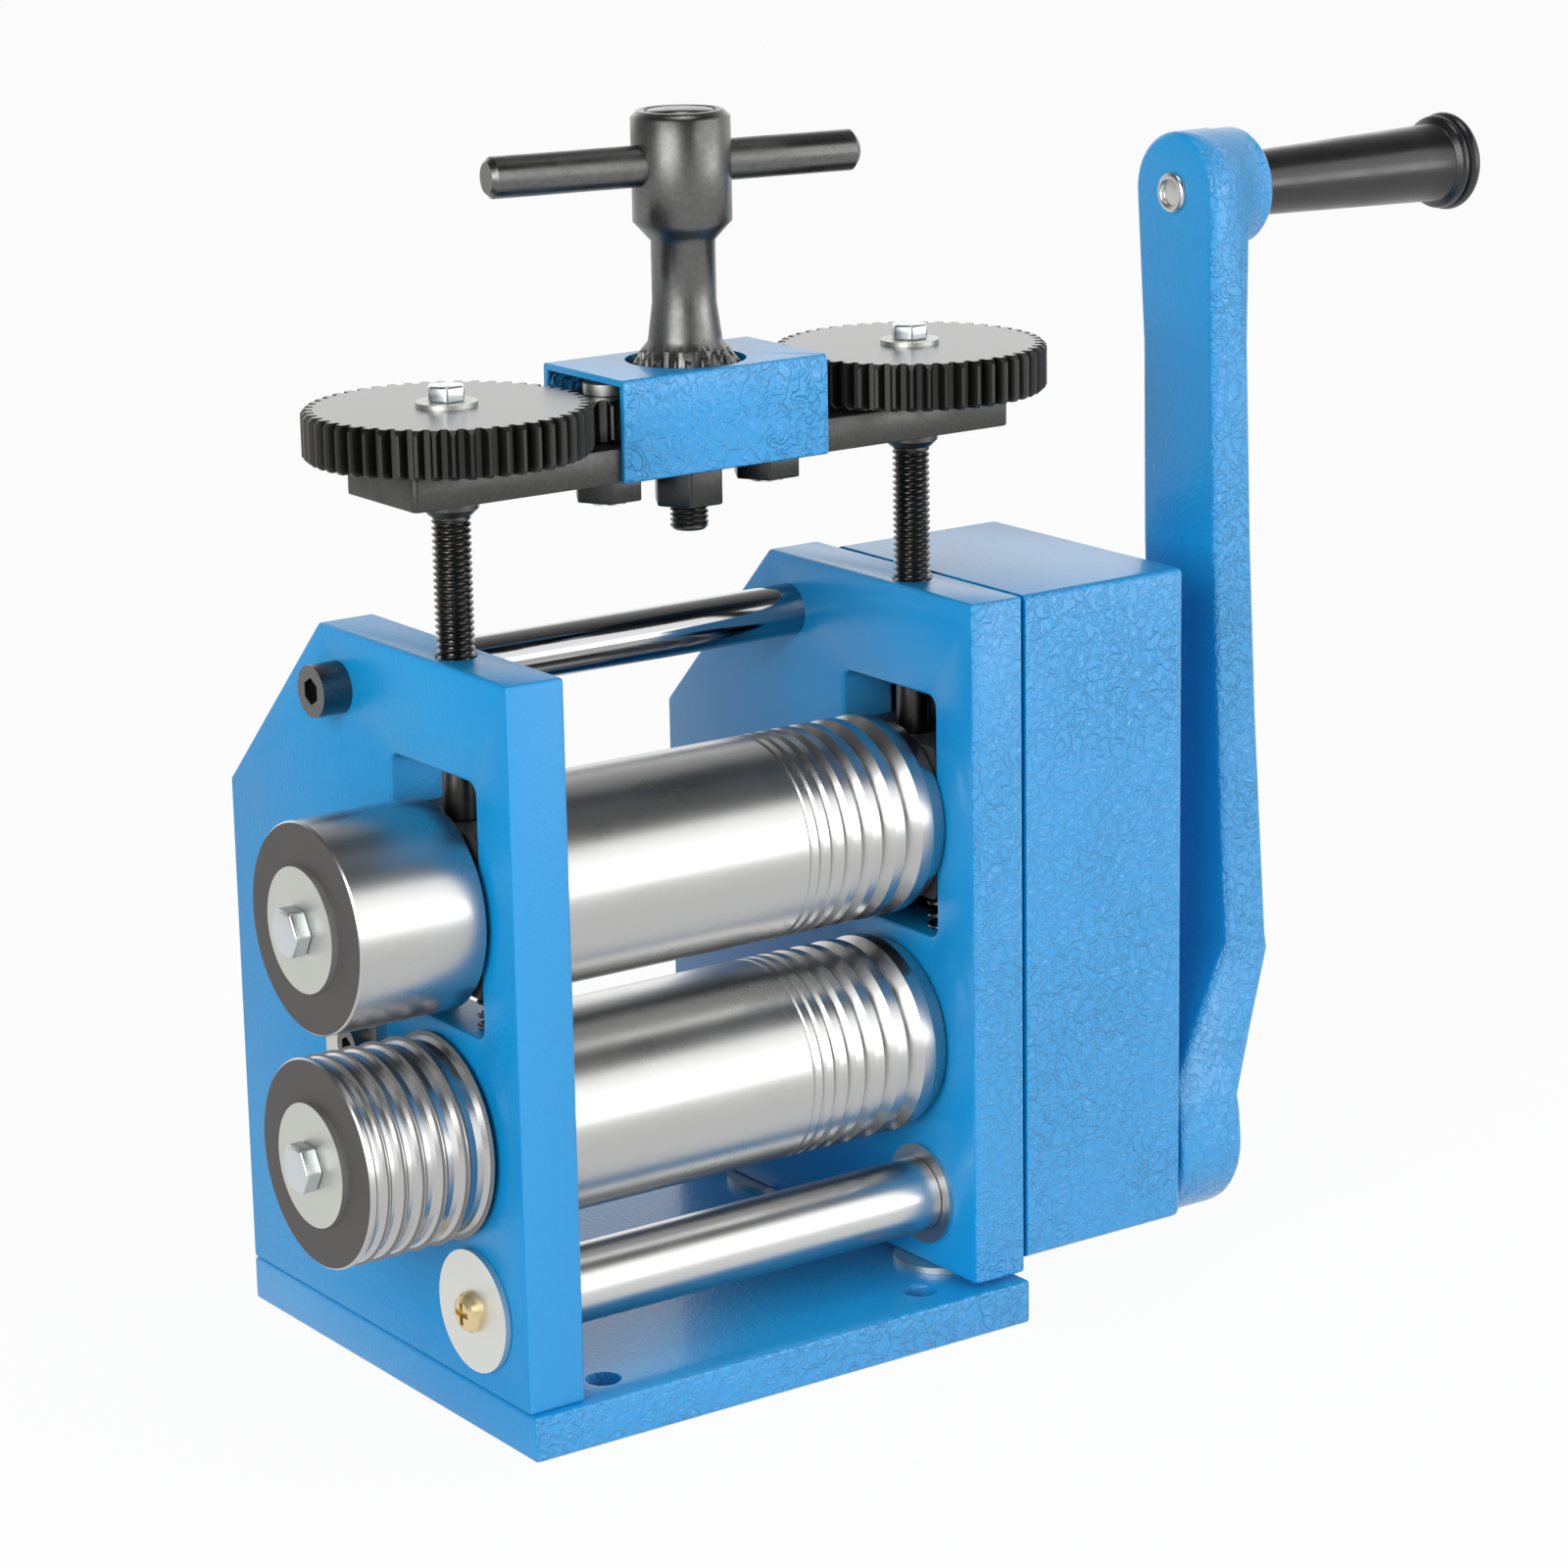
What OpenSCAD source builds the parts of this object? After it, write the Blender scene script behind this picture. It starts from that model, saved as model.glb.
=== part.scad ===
// Jewellers rolling mill: a hand cranked bench mill with flat, square wire and half round rolls.
// X runs along the rolls towards the gearbox, Y runs to the back, Z is up.
// The origin is the centre of the four bench bolt holes, on the underside of the base.

/* [Base and side plates] */
// Thickness of the base plate
base_t = 11; // [10:0.5:14]
// Depth of the base plate, front to back
base_d = 132; // [128:1:140]
// Distance of the bench bolt holes from the side plates
bench_in_x = 10.5; // [8:0.5:20]
// Distance of the bench bolt holes from the front and rear edges of the base
bench_in_y = 11; // [9:0.5:20]
// Diameter of each bench bolt hole
bench_hole_d = 8.5; // [6.5:0.5:10.5]
// Thickness of each side plate
plate_t = 15; // [14:0.5:18]
// Clear width between the side plates
bay_w = 113; // [105:1:130]
// Height of the side plates above the bench
mill_h = 182; // [180:1:195]
// Setback of the side plates from the front edge of the base
plate_inset = 2; // [0:0.5:4]
// Size of the corner cut off the top rear of the side plates
corner_cut = 47; // [36:1:50]
// Thickness of the shim washers under the right side plate
shim_t = 1.5; // [1:0.25:2.5]

/* [Rolls] */
// Diameter of the rolls
roll_d = 49; // [47:0.5:50]
// Height of the lower roll axis above the bench
roll_z = 70; // [68:0.5:74]
// Distance of the roll axes behind the front edge of the side plates
roll_setback = 33.5; // [33.5:0.5:38]
// Gap between the rolls at rest
opening = 6.5; // [2:0.5:7]
// Length of the rolls outside the left side plate
outer_roll_len = 33; // [28:1:40]
// Diameter of the roll journals in their bushes
journal_d = 20; // [19:0.5:21]
// Diameter of the stub that carries each outer roll
stub_d = 16; // [14:0.5:17]
// Diameter of the large washer on each outer roll
roll_washer_d = 29; // [24:0.5:34]
// Number of square wire grooves at the gearbox end of the rolls
v_count = 7; // [4:1:7]
// Width of the smallest square wire groove
v_first = 1; // [0.8:0.1:1.2]
// Growth of each square wire groove over the one before
v_step = 0.4; // [0.3:0.05:0.45]
// Number of half round grooves in the lower outer roll
half_count = 6; // [3:1:6]

/* [Gearbox] */
// Depth of the gearbox cover along the rolls
box_depth = 50; // [48:0.5:56]
// Wall thickness of the gearbox cover
box_wall = 1.5; // [1:0.25:1.5]
// Module of the drive gear and its pinion
drive_m = 1.5; // [1.4:0.05:1.5]
// Distance of the crank axis in front of the roll axes
crank_forward = 12; // [10:0.5:13]

/* [Crank] */
// Distance from the crank axis to the hand grip axis
crank_len = 237.3; // [180:0.1:250]
// Backward lean of the crank arm at rest, in degrees
crank_lean = 2.6; // [0:0.2:6]
// Gap between the gearbox cover and the upper part of the crank arm
arm_gap = 22.5; // [20:0.5:30]
// Length of the hand grip
grip_len = 71; // [60:1:100]
// Diameter of the crank shaft between the side plates
shaft_d = 18.4; // [17.5:0.1:20]

/* [Adjusting head] */
// Height of the carrier bar above the side plates at rest
bar_lift = 37; // [24:1:45]
// Thickness of the carrier bar
bar_t = 8; // [6:0.5:10]
// Width of the carrier bar
bar_w = 30; // [28:0.5:36]
// Thickness of the screw gears
gear_t = 11; // [9:0.5:13]
// Outside diameter of the adjusting screws
screw_d = 9; // [8:0.5:10]
// Length of the cross bar of the T handle
cross_len = 92; // [70:1:120]
// Diameter of the cross bar of the T handle
cross_d = 9.5; // [8:0.5:11]
// Diameter of the T handle hub
hub_d = 22.8; // [18:0.2:28]

/* [Hidden] */
$fn = 64;

// Clearances
run_gap = 0.05; // radial clearance of a running journal
fit_gap = 0.03; // clearance of a fixed fit
side_gap = 0.2; // clearance between faces that turn or slide past each other
slide_gap = 0.2; // clearance of a bearing block in its window
cut = 1; // overrun of every cut past the face it opens

// Side plates and the stations along X
inner_x = bay_w / 2;
bench_dx = bay_w - 2 * bench_in_x;
bench_dy = base_d - 2 * bench_in_y;
outer_x = inner_x + plate_t;
screw_x = inner_x + plate_t / 2;
front_y = -base_d / 2 + plate_inset;
rear_y = base_d / 2;
roll_y = front_y + roll_setback;
left_foot_z = base_t;
right_foot_z = base_t + shim_t;

// Bolts from the base into the side plates
plate_bolt_d = 6;
plate_bolt_head_d = 10;
plate_bolt_head_h = 6;
plate_bolt_recess = 0.5;
plate_bolt_room = 1;
plate_bolt_reach = 7;
plate_bolt_share = [-0.303, 0.25]; // places of the bolts, as shares of the depth of the base
plate_bolt_ys = base_d * plate_bolt_share;
shim_d = 24;
socket_share = 0.46; // hexagon socket across flats, as a share of a cap head
socket_depth_share = 0.55; // depth of that socket, as a share of the head

// Bearings and their blocks
bush_wall = 3;
bush_od = journal_d + 2 * (run_gap + bush_wall);
block_w = 36.6;
block_h = 38;
block_edge = 1.2;
spring_room = 3;
window_w = block_w + 2 * slide_gap;
window_h = 60;
window_r = 3;
closed_z = roll_z + roll_d;
upper_z = closed_z + opening;
window_z = closed_z - block_h / 2 - spring_room;
block_z = upper_z - block_h / 2;
seat_room = 2;
seat_depth = 1;

// Return springs under the bearing blocks
spring_y = 11.5;
spring_r = 3.5;
spring_wire = 1.2;
spring_curls = 6;
spring_rings = 8;
spring_sides = 6;
spring_seat_gap = 0.1;
pocket_h = 7;
pocket_room = 1.2;
pocket_d = 2 * spring_r + spring_wire + pocket_room;
spring_h = block_z + pocket_h - window_z;

// Rolls
face_gap = 0.5;
face_len = bay_w - 2 * face_gap;
face_x = face_len / 2;
outer_roll_gap = 1;
outer_roll_x = outer_x + outer_roll_gap;
stub_gap = 0.5;
stub_x = outer_roll_x + outer_roll_len - stub_gap;
roll_end_cut = 4.5;
roll_end_drop = 1.8;
v_bend = 0.045;
v_land = 1.6;
v_land_step = 0.25;
v_end_land = 3.3;
left_edge_cut = 0.8;
half_crest = 0.2;
half_left = 1.4;
half_right = 0.9;
half_step_share = 0.12; // growth of each half round groove, as a share of their mean
half_depth_share = 0.3; // depth of a half round groove, as a share of its width
roll_washer_t = 1.6;
roll_bolt_d = 6;
roll_bolt_af = 10.5;
roll_bolt_head = 4.2;
roll_bolt_reach = 18;

// Keys
key_w = 5;
key_h = 5;
key_inset = 2.5;
small_key = 4;
small_key_h = 3.2;

// Gears in the gearbox
mesh_teeth = 14;
mesh_m = roll_d / mesh_teeth;
mesh_pressure = 16;
mesh_addendum_share = 1.3;
mesh_dedendum_share = 1.48;
mesh_slack_share = 0.2; // sideways play in the roll gears, as a share of their module
mesh_face = 18;
drive_teeth = 40;
pinion_teeth = 15;
pressure = 20;
dedendum_share = 1.25;
drive_face = 12;
drive_slack = 0.1;
drive_centre = drive_m * (drive_teeth + pinion_teeth) / 2 + drive_slack;
gear_seat_drop = 2;
gear_seat_d = journal_d - gear_seat_drop;
mesh_in = 2.7;
mesh_x = outer_x + mesh_in;
drive_boss_len = 3.8;
drive_x = mesh_x + mesh_face + drive_boss_len;
drive_boss_d = 30;
clip_gap = 0.1;
circlip_t = 1.2;
circlip_d = gear_seat_d + 5;
circlip_groove = 1;
circlip_slot = 5;
roll_tail = 1.8;

// Crank shaft
crank_y = roll_y - crank_forward;
crank_z = roll_z - sqrt(pow(drive_centre, 2) - pow(crank_forward, 2));
drive_angle = atan2(crank_z - roll_z, crank_y - roll_y);
left_journal_drop = 4.4;
right_journal_drop = 2.4;
left_journal_d = shaft_d - left_journal_drop;
right_journal_d = shaft_d - right_journal_drop;
gear_shaft_d = shaft_d - left_journal_drop;
pinion_boss_wall = 2;
pinion_boss_d = gear_shaft_d + 2 * pinion_boss_wall;
crank_bush_wall = 3;
crank_flange_d = 25;
crank_flange_t = 1.2;
end_washer_d = 29.2;
end_washer_t = 1.5;
end_screw_d = 5;
end_screw_head_d = 9.7;
end_screw_head_h = 3;
// crown of the head, as shares of its width and height
end_screw_crown_share = [[0.3, 0.97], [0.43, 0.75], [0.5, 0.35]];
end_screw_reach = 14;
cross_recess_share = 0.56;
cross_slot_share = 0.14;

// Gearbox cover
box_x = outer_x + box_depth;
box_gap = 0.35;
pinion_tip = drive_m * (pinion_teeth / 2 + 1);
box_z = crank_z - pinion_tip - box_gap - box_wall;
box_rear_inset = 8;
box_rear_y = rear_y - box_rear_inset;
box_cut = corner_cut;
box_edge_r = 2.5;
shaft_hole_gap = 1.5;
post_d = 9;
post_inset = 9.5;
post_places = [[front_y + post_inset, mill_h - post_inset],
    [box_rear_y - post_inset, mill_h - box_cut - post_inset],
    [box_rear_y - post_inset, box_z + post_inset], [(front_y + box_rear_y) / 2, box_z + post_inset]];
post_hole_d = 5;
post_reach = 10;
post_screw_head_d = 8.5;
post_screw_head_h = 3;

// Crank arm: x is measured from the inner end of its hub, and the height from the crank axis
hub_gap = 1;
hub_x = box_x + hub_gap;
crank_hub_r = 20.4;
crank_hub_len = 20;
eye_r = 14.8;
boss_r = 14.5;
boss_len = 9;
arm_foot_t = 13.5;
arm_top_t = 11.5;
arm_half_w = 12.5;
arm_foot_half_w = 13.8;
arm_neck_half_w = 13.5;
arm_in = arm_gap - hub_gap;
bend_low_in = 18;
bend_high_in = 50;
bend_low_out = 11.5;
bend_high_out = 46;
waist_share = [0.45, 0.63]; // span of the narrowest part of the arm, as shares of its length
neck_share = 0.84; // where the arm widens to its eye, as a share of its length
hub_round_share = [0.985, 0.35]; // where the arm leaves its hub, as shares of the hub's radius
shoulder_share = [0.45, 0.55]; // width of the arm's shoulder, as shares of the hub's radius and of its foot
shoulder_z = 28;
crank_flange_bolt_d = 20;
crank_flange_bolt_t = 1.6;
crank_bolt_d = 8;
crank_bolt_af = 13;
crank_bolt_head = 5.3;
crank_bolt_reach = 20;

// Hand grip and the pin it turns on
pin_d = 8.8;
pin_proud = 0.6;
pin_head_d = 13;
pin_head_t = 2.5;
grip_gap = 0.5;
grip_small_r = 7.9;
grip_large_r = 9.8;
grip_end_r = 12.4;
grip_flare = 7;
grip_rim = 4.5;
grip_edge = 1;
grip_recess = 5;
grip_recess_d = pin_head_d + 1;

// Tie rod and its cap screws
tie_d = 13;
tie_in = 8.8;
tie_drop = 13.8;
tie_y = rear_y - corner_cut - tie_in;
tie_z = mill_h - tie_drop;
tie_screw_d = 8;
tie_screw_head_d = 12.4;
tie_screw_head_h = 7.5;
tie_screw_reach = 16;

// Keeper on the left side plate, behind the gap between the outer rolls
keeper_w = 24;
keeper_room = 0.5;
keeper_drop = 12;
keeper_y = roll_y + roll_d / 2 + keeper_room + keeper_w / 2;
keeper_h = 15;
keeper_t = 3;
keeper_z = window_z - keeper_drop;
keeper_hole_share = 0.225; // place of the bolt along the keeper, as a share of its width
keeper_bolt_d = 5;
keeper_head_d = 8.5;
keeper_head_h = 5;
keeper_reach = 8;

// Adjusting head gears
large_teeth = 50;
idler_teeth = 17;
t_teeth = 18;
mesh_gap = 0.125;
head_slack = 0.2;
head_m = (screw_x - 2 * mesh_gap) / ((large_teeth + 2 * idler_teeth + t_teeth) / 2);
idler_x = head_m * (idler_teeth + t_teeth) / 2 + mesh_gap;
large_tip = head_m * (large_teeth / 2 + 1);
t_tip = head_m * (t_teeth / 2 + 1);
t_root = head_m * (t_teeth / 2 - dedendum_share);
rim_cut = 1;

// Adjusting head
bar_z = mill_h + bar_lift;
bar_end = 18;
bar_len = 2 * (screw_x + bar_end);
bar_edge_r = 1.5;
gear_gap = 1;
gear_z = bar_z + bar_t + gear_gap;
collar_d = 13;
collar_h = 4.5;
collar_taper = 1.5;
screw_journal_d = screw_d + 1;
tenon_share = 0.7; // side of the square tenon, as a share of the screw's journal
tenon = screw_journal_d * tenon_share;
tenon_short = 0.5;
tip_gap = 0.1;
tip_cut = 1.35;
screw_tip_z = block_z + block_h - seat_depth + tip_gap;
gear_hub_d = 18;
gear_hub_t = gear_gap - side_gap;
gear_washer_d = 14;
gear_washer_t = 1;
gear_bolt_d = 5;
gear_bolt_af = 8;
gear_bolt_head = 3.6;
gear_bolt_reach = 10;
idler_d = 8;
idler_journal_d = 8.8;
idler_head_d = 10.4;
idler_head_t = 2.5;
idler_drop = 2;
idler_nut_af = 13;
idler_nut_h = 6.5;
idler_tail = 1;
cover_wall = 1.5;
cover_gap = 0.15;
cover_end_gap = 3.5;
cover_len = 2 * (screw_x - large_tip - cover_end_gap);
cover_room = 1.9;
cover_hole_gap = 1.5;
cover_h = bar_t + gear_gap + gear_t + cover_room + cover_wall;
cover_hole_d = 2 * (t_tip + cover_hole_gap);
cover_screw_d = 3;
cover_screw_head_d = 5.5;
cover_screw_head_h = 2;
cover_screw_reach = 5;
cover_screw_in = 10;
cover_screw_x = cover_len / 2 - cover_screw_in;

// T handle
spindle_journal_d = 12;
tail_d = 8.6;
tail_drop = 16.3;
nut_af = 13;
nut_h = 10;
tooth_top = 13.8;
flare_h = 4.8;
neck_foot_r = 8.6;
neck_r = 7.4;
neck_bend = 9;
neck_top = 42.7;
hub_foot = 47.1;
hub_top = 72.2;
hub_edge = 1.5;
hub_ring_r = 7.5;
hub_ring_w = 1;
hub_ring_depth = 0.8;
cross_z = 60.1;
cross_turn = -8.6;
cross_shift = -2;
cross_edge = 1.2;

// Extrudes a flat shape, drawn as Y and Z, along X
module along_x(x, len) {
    translate([x, 0, 0]) rotate([90, 0, 90]) linear_extrude(len) children();
}

// Cylinder along X
module rod_x(d, x, len, y, z) {
    translate([x, y, z]) rotate([0, 90, 0]) cylinder(d = d, h = len);
}

// Hexagon along X, with its corners to the front and back
module hex_x(af, x, len, y, z) {
    translate([x, y, z]) rotate([0, 90, 0]) rotate([0, 0, 90]) cylinder(d = af / cos(30), h = len, $fn = 6);
}

// Turned shape with its axis along X, from points of radius and X
module turned_x(points, y, z) {
    translate([0, y, z]) rotate([0, 90, 0]) rotate_extrude() polygon(points);
}

// Flat rectangle with round corners
module round_rect(w, h, r) {
    translate([-w / 2 + r, -h / 2]) square([w - 2 * r, h]);
    translate([-w / 2, -h / 2 + r]) square([w, h - 2 * r]);
    for (x = [-1, 1], y = [-1, 1]) translate([x * (w / 2 - r), y * (h / 2 - r)]) circle(r);
}

// Ring that runs from one diameter to another, along X
module bush_x(od, id, x, len, y, z) {
    difference() {
        rod_x(od, x, len, y, z);
        rod_x(id, x - cut, len + 2 * cut, y, z);
    }
}

// Cap screw along X with a hexagon socket: the head ends at x and the shank runs in the direction of dir
module cap_screw_x(d, head_d, head_h, reach, x, dir, y, z) {
    translate([x, y, z]) rotate([0, 90 * dir, 0]) cap_screw(d, head_d, head_h, reach);
}

// Cap screw with its shank along Z and its head below zero
module cap_screw(d, head_d, head_h, reach) {
    difference() {
        union() {
            translate([0, 0, -head_h]) cylinder(d = head_d, h = head_h);
            translate([0, 0, -head_h / 2]) cylinder(d = d, h = reach + head_h / 2);
        }
        translate([0, 0, -head_h - cut])
            cylinder(d = head_d * socket_share / cos(30), h = cut + head_h * socket_depth_share, $fn = 6);
    }
}

// Involute angle in degrees
function involute(a) = tan(a) * 180 / PI - a;

// Half the angle that a tooth fills at radius r
function tooth_half(r, teeth, m, pa, slack) =
    let (base_r = m * teeth / 2 * cos(pa))
    90 / teeth - slack / m / teeth * 180 / PI + involute(pa) - involute(acos(min(1,
        base_r / max(r, base_r))));

// Radii of the points up one flank of a tooth
function flank(teeth, m, pa, add, ded, steps) =
    let (root = m * teeth / 2 - ded, tip = m * teeth / 2 + add, low = max(root, m * teeth / 2 * cos(pa)))
    concat(root < low ? [root] : [], [for (i = [0 : steps]) low + (tip - low) * i / steps]);

function on_circle(r, a) = [r * cos(a), r * sin(a)];

// Outline of a spur gear with a tooth centred on angle 0
function gear_points(teeth, m, pa, add, ded, slack, steps = 4) =
    let (radii = flank(teeth, m, pa, add, ded, steps), last = len(radii) - 1)
    [for (i = [0 : teeth - 1], side = [-1, 1], j = [0 : last])
        let (r = radii[side < 0 ? j : last - j])
        on_circle(r, 360 * i / teeth + side * max(0, tooth_half(r, teeth, m, pa, slack)))];

// Flat rim gear about Z with its edges cut at both faces
module head_gear(teeth, h, turn) {
    tip = head_m * (teeth / 2 + 1);
    intersection() {
        rotate([0, 0, turn]) linear_extrude(h)
            polygon(gear_points(teeth, head_m, pressure, head_m, head_m * dedendum_share, head_slack));
        rotate_extrude() polygon([[0, 0], [tip - rim_cut, 0], [tip + cut, rim_cut + cut],
            [tip + cut, h - rim_cut - cut], [tip - rim_cut, h], [0, h]]);
    }
}

// Profile shared by the side plates and the gearbox cover
function end_profile(y0, y1, z0, z1, c) = [[y0, z0], [y1, z0], [y1, z1 - c], [y1 - c, z1], [y0, z1]];

module base_plate() {
    color("dodgerblue") difference() {
        translate([-outer_x, -base_d / 2, 0]) cube([2 * outer_x, base_d, base_t]);
        for (x = [-1, 1], y = [-1, 1])
            translate([x * bench_dx / 2, y * bench_dy / 2, -cut])
                cylinder(d = bench_hole_d, h = base_t + 2 * cut);
        for (x = [-1, 1], y = plate_bolt_ys) translate([x * screw_x, y, 0]) {
            translate([0, 0, -cut]) cylinder(d = plate_bolt_d + 2 * fit_gap, h = base_t + 2 * cut);
            translate([0, 0, -cut])
                cylinder(d = plate_bolt_head_d + plate_bolt_room,
                    h = cut + plate_bolt_head_h + plate_bolt_recess);
        }
    }
}

// Side plate whose outer face is at dir * outer_x
module side_plate(dir, foot_z) {
    x = dir < 0 ? -outer_x : inner_x;
    difference() {
        along_x(x, plate_t) polygon(end_profile(front_y, rear_y, foot_z, mill_h, corner_cut));
        along_x(x - cut, plate_t + 2 * cut) translate([roll_y, window_z + window_h / 2])
            round_rect(window_w, window_h, window_r);
        translate([dir * screw_x, roll_y, window_z + window_h - cut])
            cylinder(d = screw_d + 2 * run_gap, h = mill_h - window_z - window_h + 2 * cut);
        rod_x(bush_od + 2 * fit_gap, x - cut, plate_t + 2 * cut, roll_y, roll_z);
        rod_x(crank_bush_od(dir) + 2 * fit_gap, x - cut, plate_t + 2 * cut, crank_y, crank_z);
        rod_x(tie_screw_d + 2 * fit_gap, x - cut, plate_t + 2 * cut, tie_y, tie_z);
        for (y = plate_bolt_ys) translate([dir * screw_x, y, foot_z - cut])
            cylinder(d = plate_bolt_d + 2 * fit_gap, h = cut + base_t + plate_bolt_reach - foot_z);
    }
}

function crank_bush_od(dir) = (dir < 0 ? left_journal_d : right_journal_d)
    + 2 * (run_gap + crank_bush_wall);

module left_side_plate() {
    color("dodgerblue") difference() {
        side_plate(-1, left_foot_z);
        rod_x(keeper_bolt_d + 2 * fit_gap, -outer_x - cut, cut + keeper_reach, keeper_hole_y(), keeper_z);
    }
}

module right_side_plate() {
    color("dodgerblue") difference() {
        side_plate(1, right_foot_z);
        for (p = post_places) rod_x(post_hole_d + 2 * fit_gap, outer_x - post_reach, post_reach + cut,
            p[0], p[1]);
    }
}

module plate_bolts() {
    seat_z = plate_bolt_head_h + plate_bolt_recess;
    color("dimgray") for (x = [-1, 1], y = plate_bolt_ys) translate([x * screw_x, y, seat_z])
        cap_screw(plate_bolt_d, plate_bolt_head_d, plate_bolt_head_h,
            base_t + plate_bolt_reach - seat_z - cut);
}

module shim_washers() {
    color("silver") for (y = plate_bolt_ys) translate([screw_x, y, base_t]) difference() {
        cylinder(d = shim_d, h = shim_t);
        translate([0, 0, -cut]) cylinder(d = plate_bolt_d + 2 * fit_gap, h = shim_t + 2 * cut);
    }
}

module tie_rod() {
    color("gray") difference() {
        rod_x(tie_d, -inner_x, bay_w, tie_y, tie_z);
        for (dir = [-1, 1]) translate([dir * (inner_x + cut), tie_y, tie_z]) rotate([0, -90 * dir, 0])
            cylinder(d = tie_screw_d + 2 * fit_gap, h = tie_screw_reach + 2 * cut);
    }
}

module tie_rod_screws() {
    color("dimgray") for (dir = [-1, 1])
        cap_screw_x(tie_screw_d, tie_screw_head_d, tie_screw_head_h, plate_t + tie_screw_reach,
            dir * outer_x, -dir, tie_y, tie_z);
}

module gearbox_cover() {
    color("dodgerblue") difference() {
        along_x(outer_x, box_depth) polygon(end_profile(front_y, box_rear_y, box_z, mill_h, box_cut));
        along_x(outer_x - cut, box_depth - box_wall + cut) polygon(end_profile(front_y + box_wall,
            box_rear_y - box_wall, box_z + box_wall, mill_h - box_wall, box_cut));
        rod_x(pinion_boss_d + 2 * shaft_hole_gap, box_x - box_wall - cut, box_wall + 2 * cut, crank_y,
            crank_z);
        for (p = post_places)
            rod_x(post_hole_d + 2 * fit_gap, box_x - box_wall - cut, box_wall + 2 * cut, p[0], p[1]);
        box_edge(front_y + box_edge_r, -1);
        box_edge(box_rear_y - box_edge_r, 1);
    }
}

// What the round on an upright edge of the gearbox cover takes away
module box_edge(y, dir) {
    side = box_edge_r + cut;
    translate([box_x - box_edge_r, y, box_z - cut]) linear_extrude(mill_h - box_z + 2 * cut) difference() {
        translate([0, dir < 0 ? -side : 0]) square([side, side]);
        circle(box_edge_r);
    }
}

module gearbox_posts() {
    color("silver") for (p = post_places) {
        difference() {
            rod_x(post_d, outer_x, box_depth - box_wall, p[0], p[1]);
            rod_x(post_hole_d + 2 * fit_gap, box_x - box_wall - post_reach, post_reach + cut, p[0], p[1]);
        }
        rod_x(post_hole_d, outer_x - post_reach + cut, post_reach, p[0], p[1]);
    }
}

module gearbox_screws() {
    color("dimgray") for (p = post_places)
        cap_screw_x(post_hole_d, post_screw_head_d, post_screw_head_h, box_wall + post_reach - cut, box_x,
            -1, p[0], p[1]);
}

module lower_bearing_bushes() {
    color("goldenrod") for (x = [-outer_x, inner_x])
        bush_x(bush_od, journal_d + 2 * run_gap, x, plate_t, roll_y, roll_z);
}

module crank_bushes() {
    color("goldenrod") {
        bush_x(crank_bush_od(-1), left_journal_d + 2 * run_gap, -outer_x, plate_t, crank_y, crank_z);
        bush_x(crank_bush_od(1), right_journal_d + 2 * run_gap, inner_x - crank_flange_t / 2,
            plate_t + crank_flange_t / 2, crank_y, crank_z);
        bush_x(crank_flange_d, right_journal_d + 2 * run_gap, inner_x - crank_flange_t, crank_flange_t,
            crank_y, crank_z);
    }
}

function keeper_hole_y() = keeper_y - keeper_w / 2 + keeper_w * keeper_hole_share;

module keeper_plate() {
    color("silver") difference() {
        translate([-outer_x - keeper_t, keeper_y - keeper_w / 2, keeper_z - keeper_h / 2])
            cube([keeper_t, keeper_w, keeper_h]);
        rod_x(keeper_bolt_d + 2 * fit_gap, -outer_x - keeper_t - cut, keeper_t + 2 * cut, keeper_hole_y(),
            keeper_z);
    }
}

module keeper_bolt() {
    color("dimgray") cap_screw_x(keeper_bolt_d, keeper_head_d, keeper_head_h, keeper_t + keeper_reach - cut,
        -outer_x - keeper_t, 1, keeper_hole_y(), keeper_z);
}

// Centre of a ring of the spring wire
function spring_centre(k) = let (a = 360 * k / spring_rings,
    climb = spring_h - spring_wire - 2 * spring_seat_gap)
    [spring_r * cos(a), spring_r * sin(a), spring_wire / 2 + spring_seat_gap
        + climb * k / spring_rings / spring_curls];

// Point s of the ring k of the spring wire
function spring_point(k, s) = let (a = 360 * k / spring_rings, b = 360 * s / spring_sides)
    spring_centre(k) + spring_wire / 2 * [cos(b) * cos(a), cos(b) * sin(a), sin(b)];

spring_steps = spring_rings * spring_curls;
echo(spring_least_gap = min([for (k = [0 : spring_steps - spring_rings - 1], j = [-1 : 1],
    s = [0 : spring_sides - 1],
    t = [0 : spring_sides - 1]) norm(spring_point(k + spring_rings + j, t) - spring_point(k, s))]));

// One helical spring standing on the bottom of a window
module spring() {
    points = [for (k = [0 : spring_steps], s = [0 : spring_sides - 1]) spring_point(k, s)];
    side_faces = [for (k = [0 : spring_steps - 1], s = [0 : spring_sides - 1])
        let (n = (s + 1) % spring_sides, p = k * spring_sides, q = p + spring_sides)
        each [[p + s, q + n, p + n], [p + s, q + s, q + n]]];
    last = spring_steps * spring_sides;
    cap_faces = [for (s = [1 : spring_sides - 2]) each [[0, s, s + 1], [last, last + s + 1, last + s]]];
    polyhedron(points, concat(side_faces, cap_faces));
}

module return_springs() {
    color("dimgray") for (x = [-1, 1], y = [-1, 1])
        translate([x * screw_x, roll_y + y * spring_y, window_z]) spring();
}

shaft_left_x = -outer_x - side_gap;
shaft_right_x = hub_x + crank_hub_len - stub_gap;

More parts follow.
